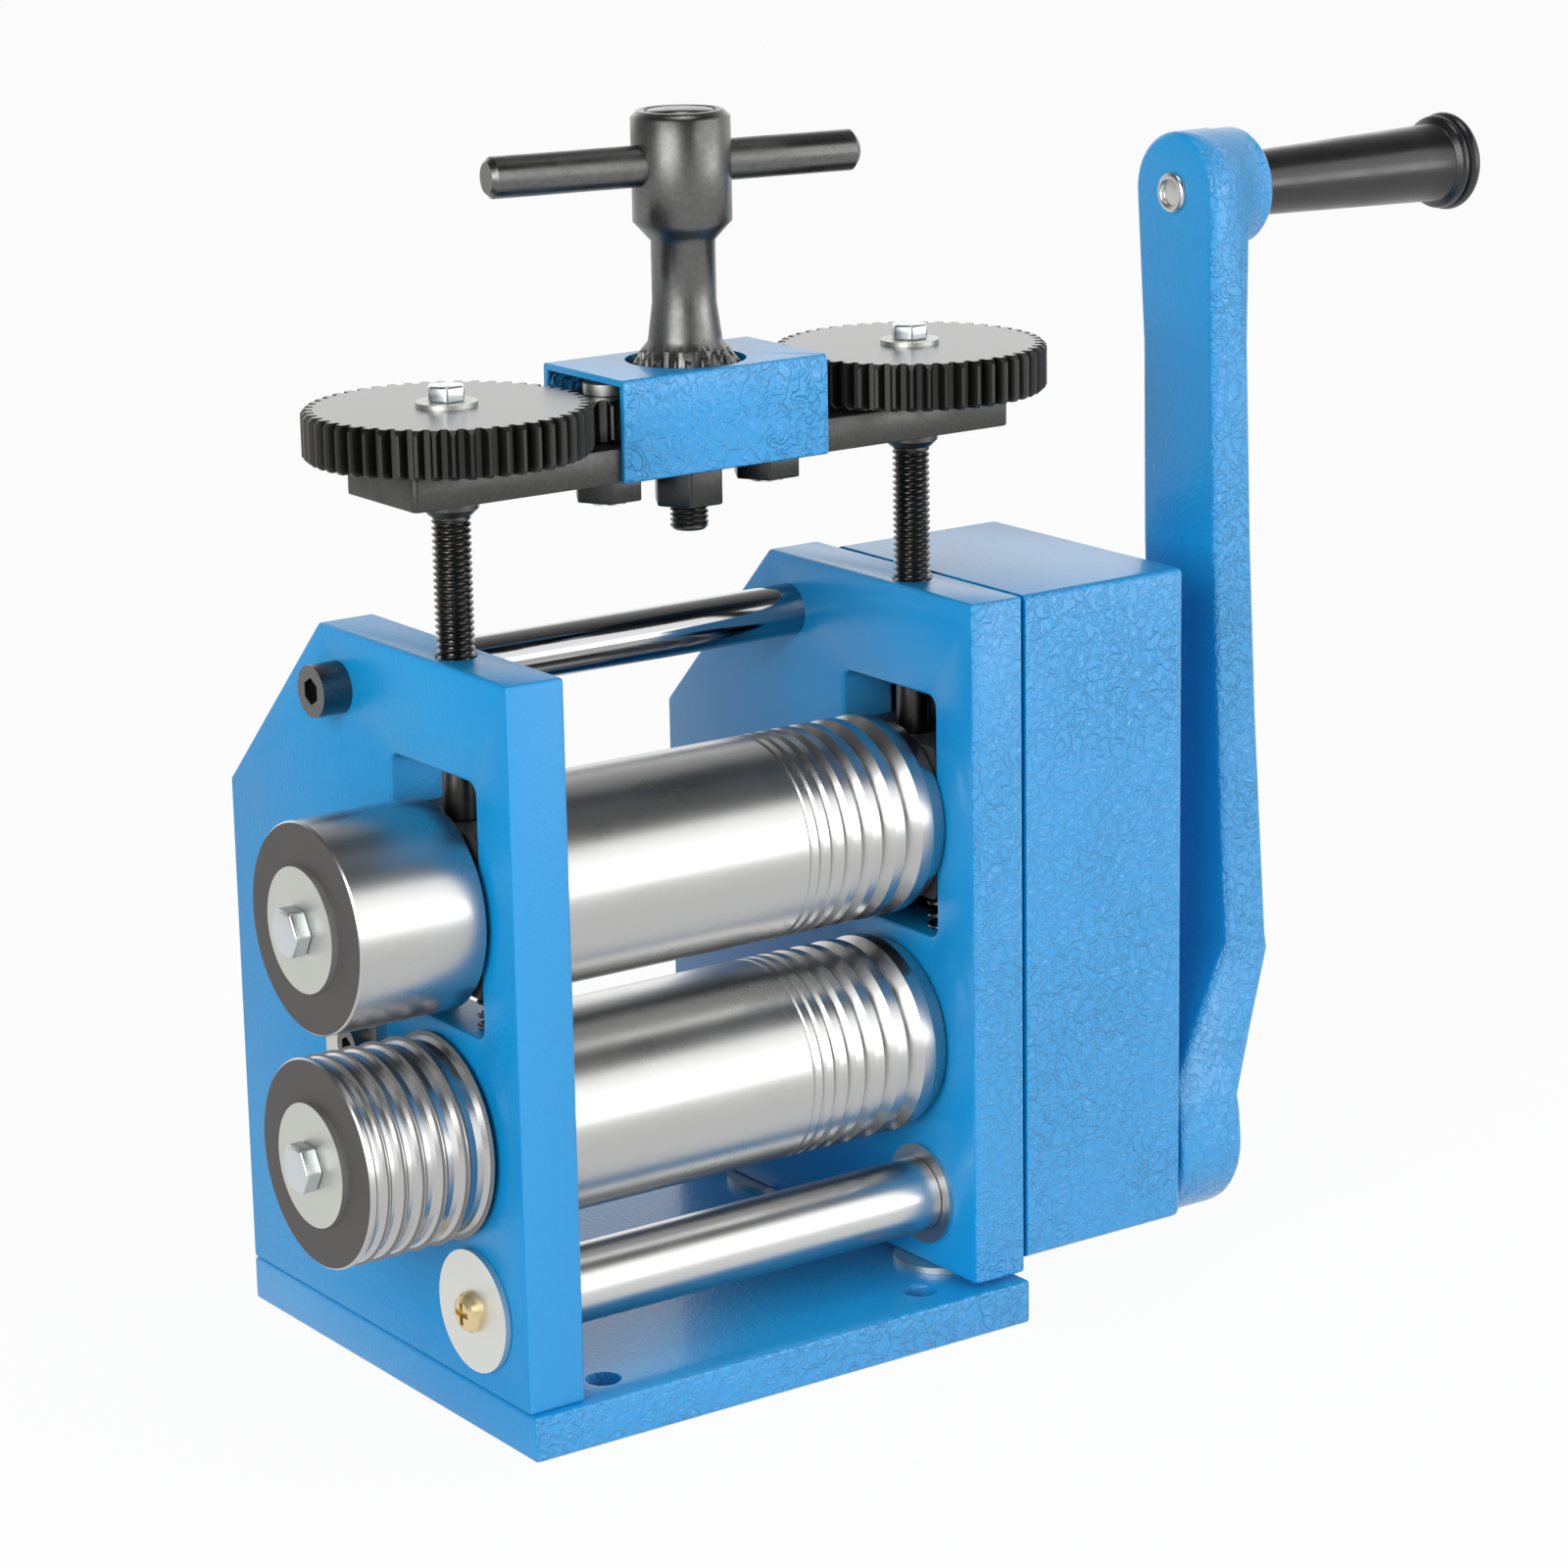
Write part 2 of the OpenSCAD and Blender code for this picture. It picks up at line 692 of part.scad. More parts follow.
module crank_shaft() {
    color("silver") difference() {
        turned_x([[0, shaft_left_x], [left_journal_d / 2, shaft_left_x],
            [left_journal_d / 2, -inner_x + side_gap],
            [shaft_d / 2, -inner_x + side_gap], [shaft_d / 2, inner_x - crank_flange_t - side_gap],
            [right_journal_d / 2, inner_x - crank_flange_t - side_gap], [right_journal_d / 2, drive_x],
            [gear_shaft_d / 2, drive_x], [gear_shaft_d / 2, shaft_right_x], [0, shaft_right_x]], crank_y,
                crank_z);
        rod_x(end_screw_d + 2 * fit_gap, shaft_left_x - cut, end_screw_reach + 2 * cut, crank_y, crank_z);
        rod_x(crank_bolt_d + 2 * fit_gap, shaft_right_x - crank_bolt_reach, crank_bolt_reach + cut,
            crank_y, crank_z);
        crank_place() crank_key_shape(fit_gap);
    }
}

// Places what turns with the crank at its lean, about the crank axis
module crank_place() {
    translate([0, crank_y, crank_z]) rotate([-crank_lean, 0, 0]) children();
}

// The two keys of the crank shaft, in the pinion and in the arm's hub
module crank_key_shape(grow) {
    z = gear_shaft_d / 2 - small_key / 2;
    for (span = [[drive_x + key_inset, drive_face - 2 * key_inset],
        [hub_x + key_inset, crank_hub_len - 2 * key_inset]])
        translate([span[0] - grow, -small_key / 2 - grow, z - grow])
            cube([span[1] + 2 * grow, small_key + 2 * grow, small_key_h + 2 * grow]);
}

module crank_keys() {
    color("silver") crank_place() crank_key_shape(0);
}

// Pinion with a long boss that reaches the crank's hub, so the crank's bolt clamps both
module drive_pinion() {
    color("gray") difference() {
        union() {
            along_x(drive_x, drive_face) translate([crank_y, crank_z])
                rotate(drive_angle - 180 + 180 / pinion_teeth)
                polygon(gear_points(pinion_teeth, drive_m, pressure, drive_m, drive_m * dedendum_share,
                    drive_slack));
            rod_x(pinion_boss_d, drive_x + drive_face - cut, hub_x - drive_x - drive_face + cut, crank_y,
                crank_z);
        }
        rod_x(gear_shaft_d + 2 * fit_gap, drive_x - cut, hub_x - drive_x + 2 * cut, crank_y, crank_z);
        crank_place() crank_key_shape(fit_gap);
    }
}

// Outline of the crank seen along its axis
module crank_outline() {
    circle(crank_hub_r);
    translate([0, crank_len]) circle(eye_r);
    shoulder = crank_hub_r * shoulder_share[0] + arm_foot_half_w * shoulder_share[1];
    for (dir = [-1, 1]) polygon([[0, 0], [dir * crank_hub_r, 0], [dir * crank_hub_r * hub_round_share[0],
        crank_hub_r * hub_round_share[1]], [dir * shoulder, shoulder_z],
            [dir * arm_foot_half_w, bend_high_in],
        [dir * arm_half_w, crank_len * waist_share[0]], [dir * arm_half_w, crank_len * waist_share[1]],
        [dir * arm_neck_half_w, crank_len * neck_share], [dir * eye_r, crank_len], [0, crank_len]]);
}

// Outline of the crank seen from the front: the arm steps out from its hub
module crank_side() {
    top = crank_len + eye_r + cut;
    foot = -crank_hub_r - cut;
    polygon([[hub_x, foot], [hub_x, bend_low_in], [hub_x + arm_in, bend_high_in], [hub_x + arm_in, top],
        [hub_x + arm_in + arm_top_t, top], [hub_x + arm_in + arm_foot_t, bend_high_out],
        [hub_x + crank_hub_len, bend_low_out], [hub_x + crank_hub_len, foot]]);
}

arm_x = hub_x + arm_in;
boss_x = arm_x + arm_top_t + boss_len;

module crank_arm() {
    color("dodgerblue") crank_place() difference() {
        union() {
            intersection() {
                along_x(hub_x, arm_in + arm_foot_t) crank_outline();
                translate([0, crank_hub_r + cut, 0]) rotate([90, 0, 0])
                    linear_extrude(2 * (crank_hub_r + cut)) crank_side();
            }
            rod_x(2 * boss_r, arm_x + arm_top_t / 2, boss_len + arm_top_t / 2, 0, crank_len);
        }
        rod_x(gear_shaft_d + 2 * fit_gap, hub_x - cut, crank_hub_len + 2 * cut, 0, 0);
        crank_key_shape(fit_gap);
        rod_x(pin_d + 2 * fit_gap, arm_x - cut, boss_x - arm_x + 2 * cut, 0, crank_len);
    }
}

module crank_bolt() {
    x = hub_x + crank_hub_len;
    color("silver") {
        rod_x(crank_flange_bolt_d, x, crank_flange_bolt_t, crank_y, crank_z);
        hex_x(crank_bolt_af, x + crank_flange_bolt_t / 2, crank_bolt_head, crank_y, crank_z);
        rod_x(crank_bolt_d, x + crank_flange_bolt_t - crank_bolt_reach, crank_bolt_reach, crank_y, crank_z);
    }
}

module shaft_end_washer() {
    color("silver") bush_x(end_washer_d, end_screw_d + 2 * fit_gap, shaft_left_x - end_washer_t,
        end_washer_t,
        crank_y, crank_z);
}

module shaft_end_screw() {
    x = shaft_left_x - end_washer_t;
    slot_l = end_screw_head_d * cross_recess_share;
    slot_w = end_screw_head_d * cross_slot_share;
    color("goldenrod") difference() {
        union() {
            turned_x(concat([[0, x - end_screw_head_h]], [for (c = end_screw_crown_share)
                [end_screw_head_d * c[0], x - end_screw_head_h * c[1]]],
                    [[end_screw_head_d / 2, x], [0, x]]), crank_y, crank_z);
            rod_x(end_screw_d, x - end_screw_head_h / 2, end_washer_t + end_screw_reach, crank_y, crank_z);
        }
        for (a = [0, 90]) translate([x - end_screw_head_h, crank_y, crank_z]) rotate([a, 0, 0])
            cube([end_screw_head_h, slot_w, slot_l], center = true);
    }
}

module grip_pin() {
    x1 = boss_x + grip_gap + grip_len - grip_recess;
    color("silver") crank_place() {
        rod_x(pin_d, arm_x - pin_proud, x1 - arm_x + pin_proud + pin_head_t / 2, 0, crank_len);
        rod_x(pin_head_d, x1 + side_gap, pin_head_t, 0, crank_len);
    }
}

module hand_grip() {
    x0 = boss_x + grip_gap;
    x1 = x0 + grip_len;
    color("darkslategray") crank_place() difference() {
        turned_x([[0, x0], [grip_small_r, x0], [grip_large_r, x1 - grip_rim - grip_flare],
            [(grip_large_r + grip_end_r) / 2, x1 - grip_rim - grip_flare / 3], [grip_end_r, x1 - grip_rim],
            [grip_end_r, x1 - grip_edge], [grip_end_r - grip_edge, x1], [0, x1]], 0, crank_len);
        rod_x(pin_d + 2 * run_gap, x0 - cut, grip_len + 2 * cut, 0, crank_len);
        rod_x(grip_recess_d, x1 - grip_recess, grip_recess + cut, 0, crank_len);
    }
}

// Width of one square wire groove, and its centre measured back from the gearbox end of the roll
function v_width(i) = v_first + v_step * i + v_bend * i * i;
function v_back(i) = i == v_count - 1 ? roll_end_cut + v_end_land + v_width(i) / 2
    : v_back(i + 1) + (v_width(i) + v_width(i + 1)) / 2 + v_land + v_land_step * i;

// Edge of a roll from its left end to its right end, with the square wire grooves
function face_points() = concat([[roll_d / 2 - left_edge_cut, -face_x],
    [roll_d / 2, -face_x + left_edge_cut]],
    [for (i = [0 : v_count - 1], s = [-1, 0, 1])
        [roll_d / 2 - (s == 0 ? v_width(i) / 2 : 0), face_x - v_back(i) + s * v_width(i) / 2]],
    [[roll_d / 2, face_x - roll_end_cut], [roll_d / 2 - roll_end_drop, face_x]]);

// Turned roll with its journals, the stub for the outer roll and the seat for its gears
module roll(z, tail_x) {
    color("silver") difference() {
        turned_x(concat([[0, -stub_x], [stub_d / 2, -stub_x], [stub_d / 2, -outer_roll_x],
            [journal_d / 2, -outer_roll_x], [journal_d / 2, -face_x]], face_points(),
            [[journal_d / 2, face_x], [journal_d / 2, mesh_x], [gear_seat_d / 2, mesh_x],
            [gear_seat_d / 2, tail_x], [gear_seat_d / 2 - circlip_groove, tail_x],
            [gear_seat_d / 2 - circlip_groove, tail_x + circlip_t + clip_gap],
                [gear_seat_d / 2, tail_x + circlip_t + clip_gap],
            [gear_seat_d / 2, tail_x + circlip_t + roll_tail], [0, tail_x + circlip_t + roll_tail]]),
                roll_y, z);
        rod_x(roll_bolt_d + 2 * fit_gap, -stub_x - cut, roll_bolt_reach + 2 * cut, roll_y, z);
        outer_key(z, fit_gap);
        gear_key(z, tail_x, fit_gap);
    }
}

// Key between a stub and its outer roll
module outer_key(z, grow) {
    translate([-stub_x + roll_bolt_reach / 2 - grow, roll_y - key_w / 2 - grow,
        z + stub_d / 2 - key_h / 2 - grow])
        cube([outer_roll_len - roll_bolt_reach / 2 - key_inset + 2 * grow, key_w + 2 * grow,
            key_h + 2 * grow]);
}

// Key between a roll and its gears
module gear_key(z, tail_x, grow) {
    translate([mesh_x + key_inset - grow, roll_y - key_w / 2 - grow,
        z + gear_seat_d / 2 - key_h / 2 - grow])
        cube([tail_x - mesh_x - 2 * key_inset + 2 * grow, key_w + 2 * grow, key_h + 2 * grow]);
}

// A slot as wide as the key, open along the whole bore it lies in
module keyway(z, x, len, d) {
    translate([x - cut, roll_y - key_w / 2 - fit_gap, z])
        cube([len + 2 * cut, key_w + 2 * fit_gap, d / 2 + key_h / 2 + fit_gap]);
}

lower_tail_x = drive_x + drive_face;
upper_tail_x = mesh_x + mesh_face;

module lower_roll() {
    roll(roll_z, lower_tail_x);
}

module upper_roll() {
    roll(upper_z, upper_tail_x);
}

module lower_roll_keys() {
    color("dimgray") {
        outer_key(roll_z, 0);
        gear_key(roll_z, lower_tail_x, 0);
    }
}

module upper_roll_keys() {
    color("dimgray") {
        outer_key(upper_z, 0);
        gear_key(upper_z, upper_tail_x, 0);
    }
}

// Widths and left edges of the half round grooves, which fill the outer roll from end to end
half_total = outer_roll_len - half_left - half_right - (half_count - 1) * half_crest;
function half_width(i) = half_total / half_count * (1 + half_step_share * (i - (half_count - 1) / 2));
function half_edge(i) = i == 0 ? -outer_roll_x - outer_roll_len + half_left
    : half_edge(i - 1) + half_width(i - 1) + half_crest;
half_steps = 6;

function plain_points() = [[roll_d / 2 - left_edge_cut / 2, -outer_roll_x - outer_roll_len],
    [roll_d / 2, -outer_roll_x - outer_roll_len + left_edge_cut / 2],
        [roll_d / 2, -outer_roll_x - left_edge_cut],
    [roll_d / 2 - left_edge_cut, -outer_roll_x]];
function grooved_points() = concat([plain_points()[0], plain_points()[1]],
    [for (i = [0 : half_count - 1], s = [0 : half_steps]) let (w = half_width(i))
        [roll_d / 2 - w * half_depth_share * sin(180 * s / half_steps),
            half_edge(i) + w * (1 - cos(180 * s / half_steps)) / 2]],
    [plain_points()[2], plain_points()[3]]);

// Ring keyed to a stub outside the left side plate
module outer_roll(z, edge_points) {
    color("silver") difference() {
        turned_x(concat([[0, -outer_roll_x - outer_roll_len]], edge_points, [[0, -outer_roll_x]]), roll_y,
            z);
        rod_x(stub_d + 2 * fit_gap, -outer_roll_x - outer_roll_len - cut, outer_roll_len + 2 * cut,
            roll_y, z);
        keyway(z, -outer_roll_x - outer_roll_len, outer_roll_len, stub_d);
    }
}

module lower_outer_roll() {
    outer_roll(roll_z, grooved_points());
}

module upper_outer_roll() {
    outer_roll(upper_z, plain_points());
}

module outer_washer(z) {
    color("silver") bush_x(roll_washer_d, roll_bolt_d + 2 * fit_gap,
        -outer_roll_x - outer_roll_len - roll_washer_t, roll_washer_t, roll_y, z);
}

module outer_bolt(z) {
    x = -outer_roll_x - outer_roll_len - roll_washer_t;
    color("silver") {
        hex_x(roll_bolt_af, x - roll_bolt_head, roll_bolt_head, roll_y, z);
        rod_x(roll_bolt_d, x - roll_bolt_head / 2, roll_bolt_reach, roll_y, z);
    }
}

module lower_roll_washer() {
    outer_washer(roll_z);
}

module upper_roll_washer() {
    outer_washer(upper_z);
}

module lower_roll_bolt() {
    outer_bolt(roll_z);
}

module upper_roll_bolt() {
    outer_bolt(upper_z);
}

// One of the two long toothed gears that keep the rolls turning together at any opening
module roll_gear(z, turn) {
    color("gray") difference() {
        along_x(mesh_x, mesh_face) translate([roll_y, z]) rotate(turn)
            polygon(gear_points(mesh_teeth, mesh_m, mesh_pressure, mesh_m * mesh_addendum_share,
                mesh_m * mesh_dedendum_share, mesh_m * mesh_slack_share));
        rod_x(gear_seat_d + 2 * fit_gap, mesh_x - cut, mesh_face + 2 * cut, roll_y, z);
        keyway(z, mesh_x, mesh_face, gear_seat_d);
    }
}

module lower_roll_gear() {
    roll_gear(roll_z, 90);
}

module upper_roll_gear() {
    roll_gear(upper_z, 270 + 180 / mesh_teeth);
}

module drive_gear() {
    color("gray") difference() {
        union() {
            along_x(drive_x, drive_face) translate([roll_y, roll_z]) rotate(drive_angle)
                polygon(gear_points(drive_teeth, drive_m, pressure, drive_m, drive_m * dedendum_share,
                    drive_slack));
            rod_x(drive_boss_d, drive_x - drive_boss_len, drive_boss_len + cut, roll_y, roll_z);
        }
        rod_x(gear_seat_d + 2 * fit_gap, drive_x - drive_boss_len - cut,
            drive_face + drive_boss_len + 2 * cut, roll_y, roll_z);
        keyway(roll_z, drive_x - drive_boss_len, drive_face + drive_boss_len, gear_seat_d);
    }
}

// Retaining ring in the groove at the end of a gear seat
module circlip(z, tail_x) {
    x = tail_x + clip_gap / 2;
    color("dimgray") difference() {
        bush_x(circlip_d, gear_seat_d - 2 * circlip_groove + 2 * run_gap, x, circlip_t, roll_y, z);
        translate([x - cut, roll_y - circlip_slot / 2, z]) cube([circlip_t + 2 * cut, circlip_slot,
            circlip_d]);
    }
}

module lower_circlip() {
    circlip(roll_z, lower_tail_x);
}

module upper_circlip() {
    circlip(upper_z, upper_tail_x);
}

// Bearing block that slides in a window, with pockets for two springs and a seat for the screw's point
module bearing_block(dir) {
    w = plate_t - 2 * slide_gap;
    color("dimgray") difference() {
        along_x(dir * screw_x - w / 2, w) polygon([[roll_y - block_w / 2 + block_edge, block_z],
            [roll_y + block_w / 2 - block_edge, block_z], [roll_y + block_w / 2, block_z + block_edge],
            [roll_y + block_w / 2, block_z + block_h - block_edge],
                [roll_y + block_w / 2 - block_edge, block_z + block_h],
            [roll_y - block_w / 2 + block_edge, block_z + block_h],
                [roll_y - block_w / 2, block_z + block_h - block_edge],
            [roll_y - block_w / 2, block_z + block_edge]]);
        rod_x(bush_od + 2 * fit_gap, dir * screw_x - plate_t, 2 * plate_t, roll_y, upper_z);
        translate([dir * screw_x, roll_y, block_z + block_h - seat_depth])
            cylinder(d = screw_d + seat_room, h = seat_depth + cut);
        for (y = [-1, 1]) translate([dir * screw_x, roll_y + y * spring_y, block_z - cut])
            cylinder(d = pocket_d, h = pocket_h + cut);
    }
}

module left_bearing_block() {
    bearing_block(-1);
}

module right_bearing_block() {
    bearing_block(1);
}

module upper_bearing_bushes() {
    w = plate_t - 2 * slide_gap;
    color("goldenrod") for (dir = [-1, 1])
        bush_x(bush_od, journal_d + 2 * run_gap, dir * screw_x - w / 2, w, roll_y, upper_z);
}

module carrier_bar() {
    color("dimgray") difference() {
        translate([0, roll_y, bar_z]) linear_extrude(bar_t) round_rect(bar_len, bar_w, bar_edge_r);
        for (dir = [-1, 1]) {
            translate([dir * screw_x, roll_y, bar_z - cut])
                cylinder(d = screw_journal_d + 2 * run_gap, h = bar_t + 2 * cut);
            translate([dir * idler_x, roll_y, bar_z - cut])
                cylinder(d = idler_d + 2 * fit_gap, h = bar_t + 2 * cut);
            translate([dir * cover_screw_x, roll_y + bar_w / 2 + cut, bar_z + bar_t / 2]) rotate([90, 0, 0])
                cylinder(d = cover_screw_d + 2 * fit_gap, h = cover_screw_reach + 2 * cut);
        }
        translate([0, roll_y, bar_z - cut]) cylinder(d = spindle_journal_d + 2 * run_gap,
            h = bar_t + 2 * cut);
    }
}

module head_cover() {
    outer_w = bar_w + 2 * (cover_gap + cover_wall);
    color("dodgerblue") difference() {
        translate([-cover_len / 2, roll_y - outer_w / 2, bar_z]) cube([cover_len, outer_w, cover_h]);
        translate([-cover_len / 2 - cut, roll_y - bar_w / 2 - cover_gap, bar_z - cut])
            cube([cover_len + 2 * cut, bar_w + 2 * cover_gap, cover_h - cover_wall + cut]);
        translate([0, roll_y, bar_z]) cylinder(d = cover_hole_d, h = cover_h + cut);
        for (dir = [-1, 1]) translate([dir * cover_screw_x, roll_y + bar_w, bar_z + bar_t / 2])
            rotate([90, 0, 0])
            cylinder(d = cover_screw_d + 2 * fit_gap, h = bar_w);
    }
}

module head_cover_screws() {
    color("silver") for (dir = [-1, 1])
        translate([dir * cover_screw_x, roll_y + bar_w / 2 + cover_gap + cover_wall, bar_z + bar_t / 2])
            rotate([90, 0, 0]) cap_screw(cover_screw_d, cover_screw_head_d, cover_screw_head_h,
                cover_screw_reach + cover_gap + cover_wall);
}

module idler_bolts() {
    head_z = gear_z + gear_t - idler_drop;
    low_z = bar_z - idler_nut_h - idler_tail;
    color("gray") for (dir = [-1, 1]) translate([dir * idler_x, roll_y, 0]) {
        translate([0, 0, head_z]) cylinder(d = idler_head_d, h = idler_head_t);
        translate([0, 0, bar_z + bar_t]) cylinder(d = idler_journal_d,
            h = head_z + idler_head_t / 2 - bar_z - bar_t);
        translate([0, 0, low_z]) cylinder(d = idler_d, h = head_z - low_z);
    }
}

// Nut about Z with a hole for a bolt of diameter d
module nut(af, d, h) {
    difference() {
        cylinder(d = af / cos(30), h = h, $fn = 6);
        translate([0, 0, -cut]) cylinder(d = d + 2 * fit_gap, h = h + 2 * cut);
    }
}

module idler_nuts() {
    color("dimgray") for (dir = [-1, 1]) translate([dir * idler_x, roll_y, bar_z - idler_nut_h])
        nut(idler_nut_af, idler_d, idler_nut_h);
}

module idler_gear(dir) {
    h = gear_t + gear_gap - idler_drop - 2 * side_gap;
    turn = (dir < 0 ? 0 : 180) + 180 / idler_teeth;
    color("dimgray") translate([dir * idler_x, roll_y, bar_z + bar_t + side_gap]) difference() {
        head_gear(idler_teeth, h, turn);
        translate([0, 0, -cut]) cylinder(d = idler_journal_d + 2 * run_gap, h = h + 2 * cut);
    }
}

module left_idler_gear() {
    idler_gear(-1);
}

module right_idler_gear() {
    idler_gear(1);
}

// Adjusting screw: point, thread, collar under the bar, journal through the bar and tenon in the gear
module adjusting_screw(dir) {
    collar_top = bar_z - side_gap;
    shoulder_z = gear_z - gear_hub_t;
    color("dimgray") translate([dir * screw_x, roll_y, 0]) difference() {
        union() {
            rotate_extrude() polygon([[0, screw_tip_z], [screw_d / 2 - tip_cut, screw_tip_z],
                [screw_d / 2, screw_tip_z + tip_cut],
                [screw_d / 2, collar_top - collar_h], [collar_d / 2 - collar_taper, collar_top - collar_h],
                [collar_d / 2, collar_top - collar_h + collar_taper], [collar_d / 2, collar_top],
                [screw_journal_d / 2, collar_top], [screw_journal_d / 2, shoulder_z], [0, shoulder_z]]);
            translate([-tenon / 2, -tenon / 2, shoulder_z - cut])
                cube([tenon, tenon, gear_z + gear_t - tenon_short - shoulder_z + cut]);
        }
        translate([0, 0, gear_z + gear_t - gear_bolt_reach - cut])
            cylinder(d = gear_bolt_d + 2 * fit_gap, h = gear_bolt_reach + 2 * cut);
    }
}

module left_screw() {
    adjusting_screw(-1);
}

module right_screw() {
    adjusting_screw(1);
}

module screw_gear(dir) {
    hole = tenon + 2 * fit_gap;
    turn = (dir < 0 ? 0 : 180) + 180 / large_teeth;
    color("dimgray") translate([dir * screw_x, roll_y, gear_z]) difference() {
        union() {
            head_gear(large_teeth, gear_t, turn);
            translate([0, 0, -gear_hub_t]) cylinder(d = gear_hub_d, h = gear_hub_t + cut);
        }
        translate([-hole / 2, -hole / 2, -gear_hub_t - cut])
            cube([hole, hole, gear_t + gear_hub_t + 2 * cut]);
    }
}

module left_screw_gear() {
    screw_gear(-1);
}

module right_screw_gear() {
    screw_gear(1);
}

// Washer on top of a screw gear
module gear_washer(dir) {
    color("silver") translate([dir * screw_x, roll_y, gear_z + gear_t]) difference() {
        cylinder(d = gear_washer_d, h = gear_washer_t);
        translate([0, 0, -cut]) cylinder(d = gear_bolt_d + 2 * fit_gap, h = gear_washer_t + 2 * cut);
    }
}

module left_gear_washer() {
    gear_washer(-1);
}

module right_gear_washer() {
    gear_washer(1);
}

// Bolt that holds a gear on its screw
module gear_bolt(dir) {
    color("silver") translate([dir * screw_x, roll_y, gear_z + gear_t + gear_washer_t]) {
        cylinder(d = gear_bolt_af / cos(30), h = gear_bolt_head, $fn = 6);
        translate([0, 0, -gear_bolt_reach]) cylinder(d = gear_bolt_d,
            h = gear_bolt_reach + gear_bolt_head / 2);
    }
}

module left_gear_bolt() {
    gear_bolt(-1);
}

module right_gear_bolt() {
    gear_bolt(1);
}

// T handle spindle: hub, neck, pinion cut into its foot, journal through the bar and threaded tail
module t_spindle() {
    z0 = bar_t + side_gap;
    tooth_z = gear_gap + bar_t + tooth_top;
    flare_z = tooth_z + flare_h;
    color("dimgray") translate([0, roll_y, bar_z]) difference() {
        union() {
            intersection() {
                translate([0, 0, z0]) linear_extrude(flare_z - z0)
                    polygon(gear_points(t_teeth, head_m, pressure, head_m, head_m * dedendum_share,
                        head_slack));
                rotate_extrude() polygon([[0, z0], [t_tip + cut, z0],
                    [t_tip + cut, tooth_z - cut * flare_h / (t_tip - neck_foot_r)],
                    [neck_foot_r, flare_z], [0, flare_z]]);
            }
            rotate_extrude() polygon([[0, -tail_drop], [tail_d / 2, -tail_drop], [tail_d / 2, -side_gap],
                [spindle_journal_d / 2, -side_gap], [spindle_journal_d / 2, z0 + cut], [t_root, z0 + cut],
                [t_root, tooth_z + flare_h * (t_tip - t_root) / (t_tip - neck_foot_r)],
                    [neck_foot_r, flare_z],
                [neck_r, flare_z + neck_bend], [neck_r, neck_top + bar_t], [hub_d / 2, hub_foot + bar_t],
                [hub_d / 2, hub_top + bar_t - hub_edge], [hub_d / 2 - hub_edge, hub_top + bar_t],
                [hub_ring_r + hub_ring_w, hub_top + bar_t],
                    [hub_ring_r + hub_ring_w, hub_top + bar_t - hub_ring_depth],
                [hub_ring_r, hub_top + bar_t - hub_ring_depth], [hub_ring_r, hub_top + bar_t],
                    [0, hub_top + bar_t]]);
        }
        translate([0, 0, cross_z + bar_t]) rotate([0, 0, cross_turn]) rotate([0, 90, 0])
            cylinder(d = cross_d + 2 * fit_gap, h = hub_d + 2 * cut, center = true);
    }
}

module cross_bar() {
    a = cross_shift - cross_len / 2;
    b = cross_shift + cross_len / 2;
    color("dimgray") translate([0, roll_y, bar_z + cross_z + bar_t]) rotate([0, 0, cross_turn])
        rotate([0, 90, 0])
        rotate_extrude() polygon([[0, a], [cross_d / 2 - cross_edge, a], [cross_d / 2, a + cross_edge],
            [cross_d / 2, b - cross_edge], [cross_d / 2 - cross_edge, b], [0, b]]);
}

module centre_nut() {
    color("dimgray") translate([0, roll_y, bar_z - side_gap - nut_h]) nut(nut_af, tail_d, nut_h);
}

base_plate();
left_side_plate();
right_side_plate();
plate_bolts();
shim_washers();
tie_rod();
tie_rod_screws();
gearbox_cover();
gearbox_posts();
gearbox_screws();
lower_bearing_bushes();
crank_bushes();
keeper_plate();
keeper_bolt();
return_springs();
crank_shaft();
drive_pinion();
crank_arm();
crank_keys();
crank_bolt();
shaft_end_washer();
shaft_end_screw();
grip_pin();
hand_grip();
lower_roll();
lower_outer_roll();
lower_roll_washer();
lower_roll_bolt();
lower_roll_gear();
drive_gear();
lower_roll_keys();
lower_circlip();
left_bearing_block();
right_bearing_block();
upper_bearing_bushes();
upper_roll();
upper_outer_roll();
upper_roll_washer();
upper_roll_bolt();
upper_roll_gear();
upper_roll_keys();
upper_circlip();
carrier_bar();
head_cover();
head_cover_screws();
idler_bolts();
idler_nuts();
t_spindle();
cross_bar();
centre_nut();
left_idler_gear();
right_idler_gear();
left_screw();
right_screw();
left_screw_gear();
right_screw_gear();
left_gear_washer();
right_gear_washer();
left_gear_bolt();
right_gear_bolt();
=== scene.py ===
import math

import bmesh
import bpy
from mathutils import Matrix, Vector


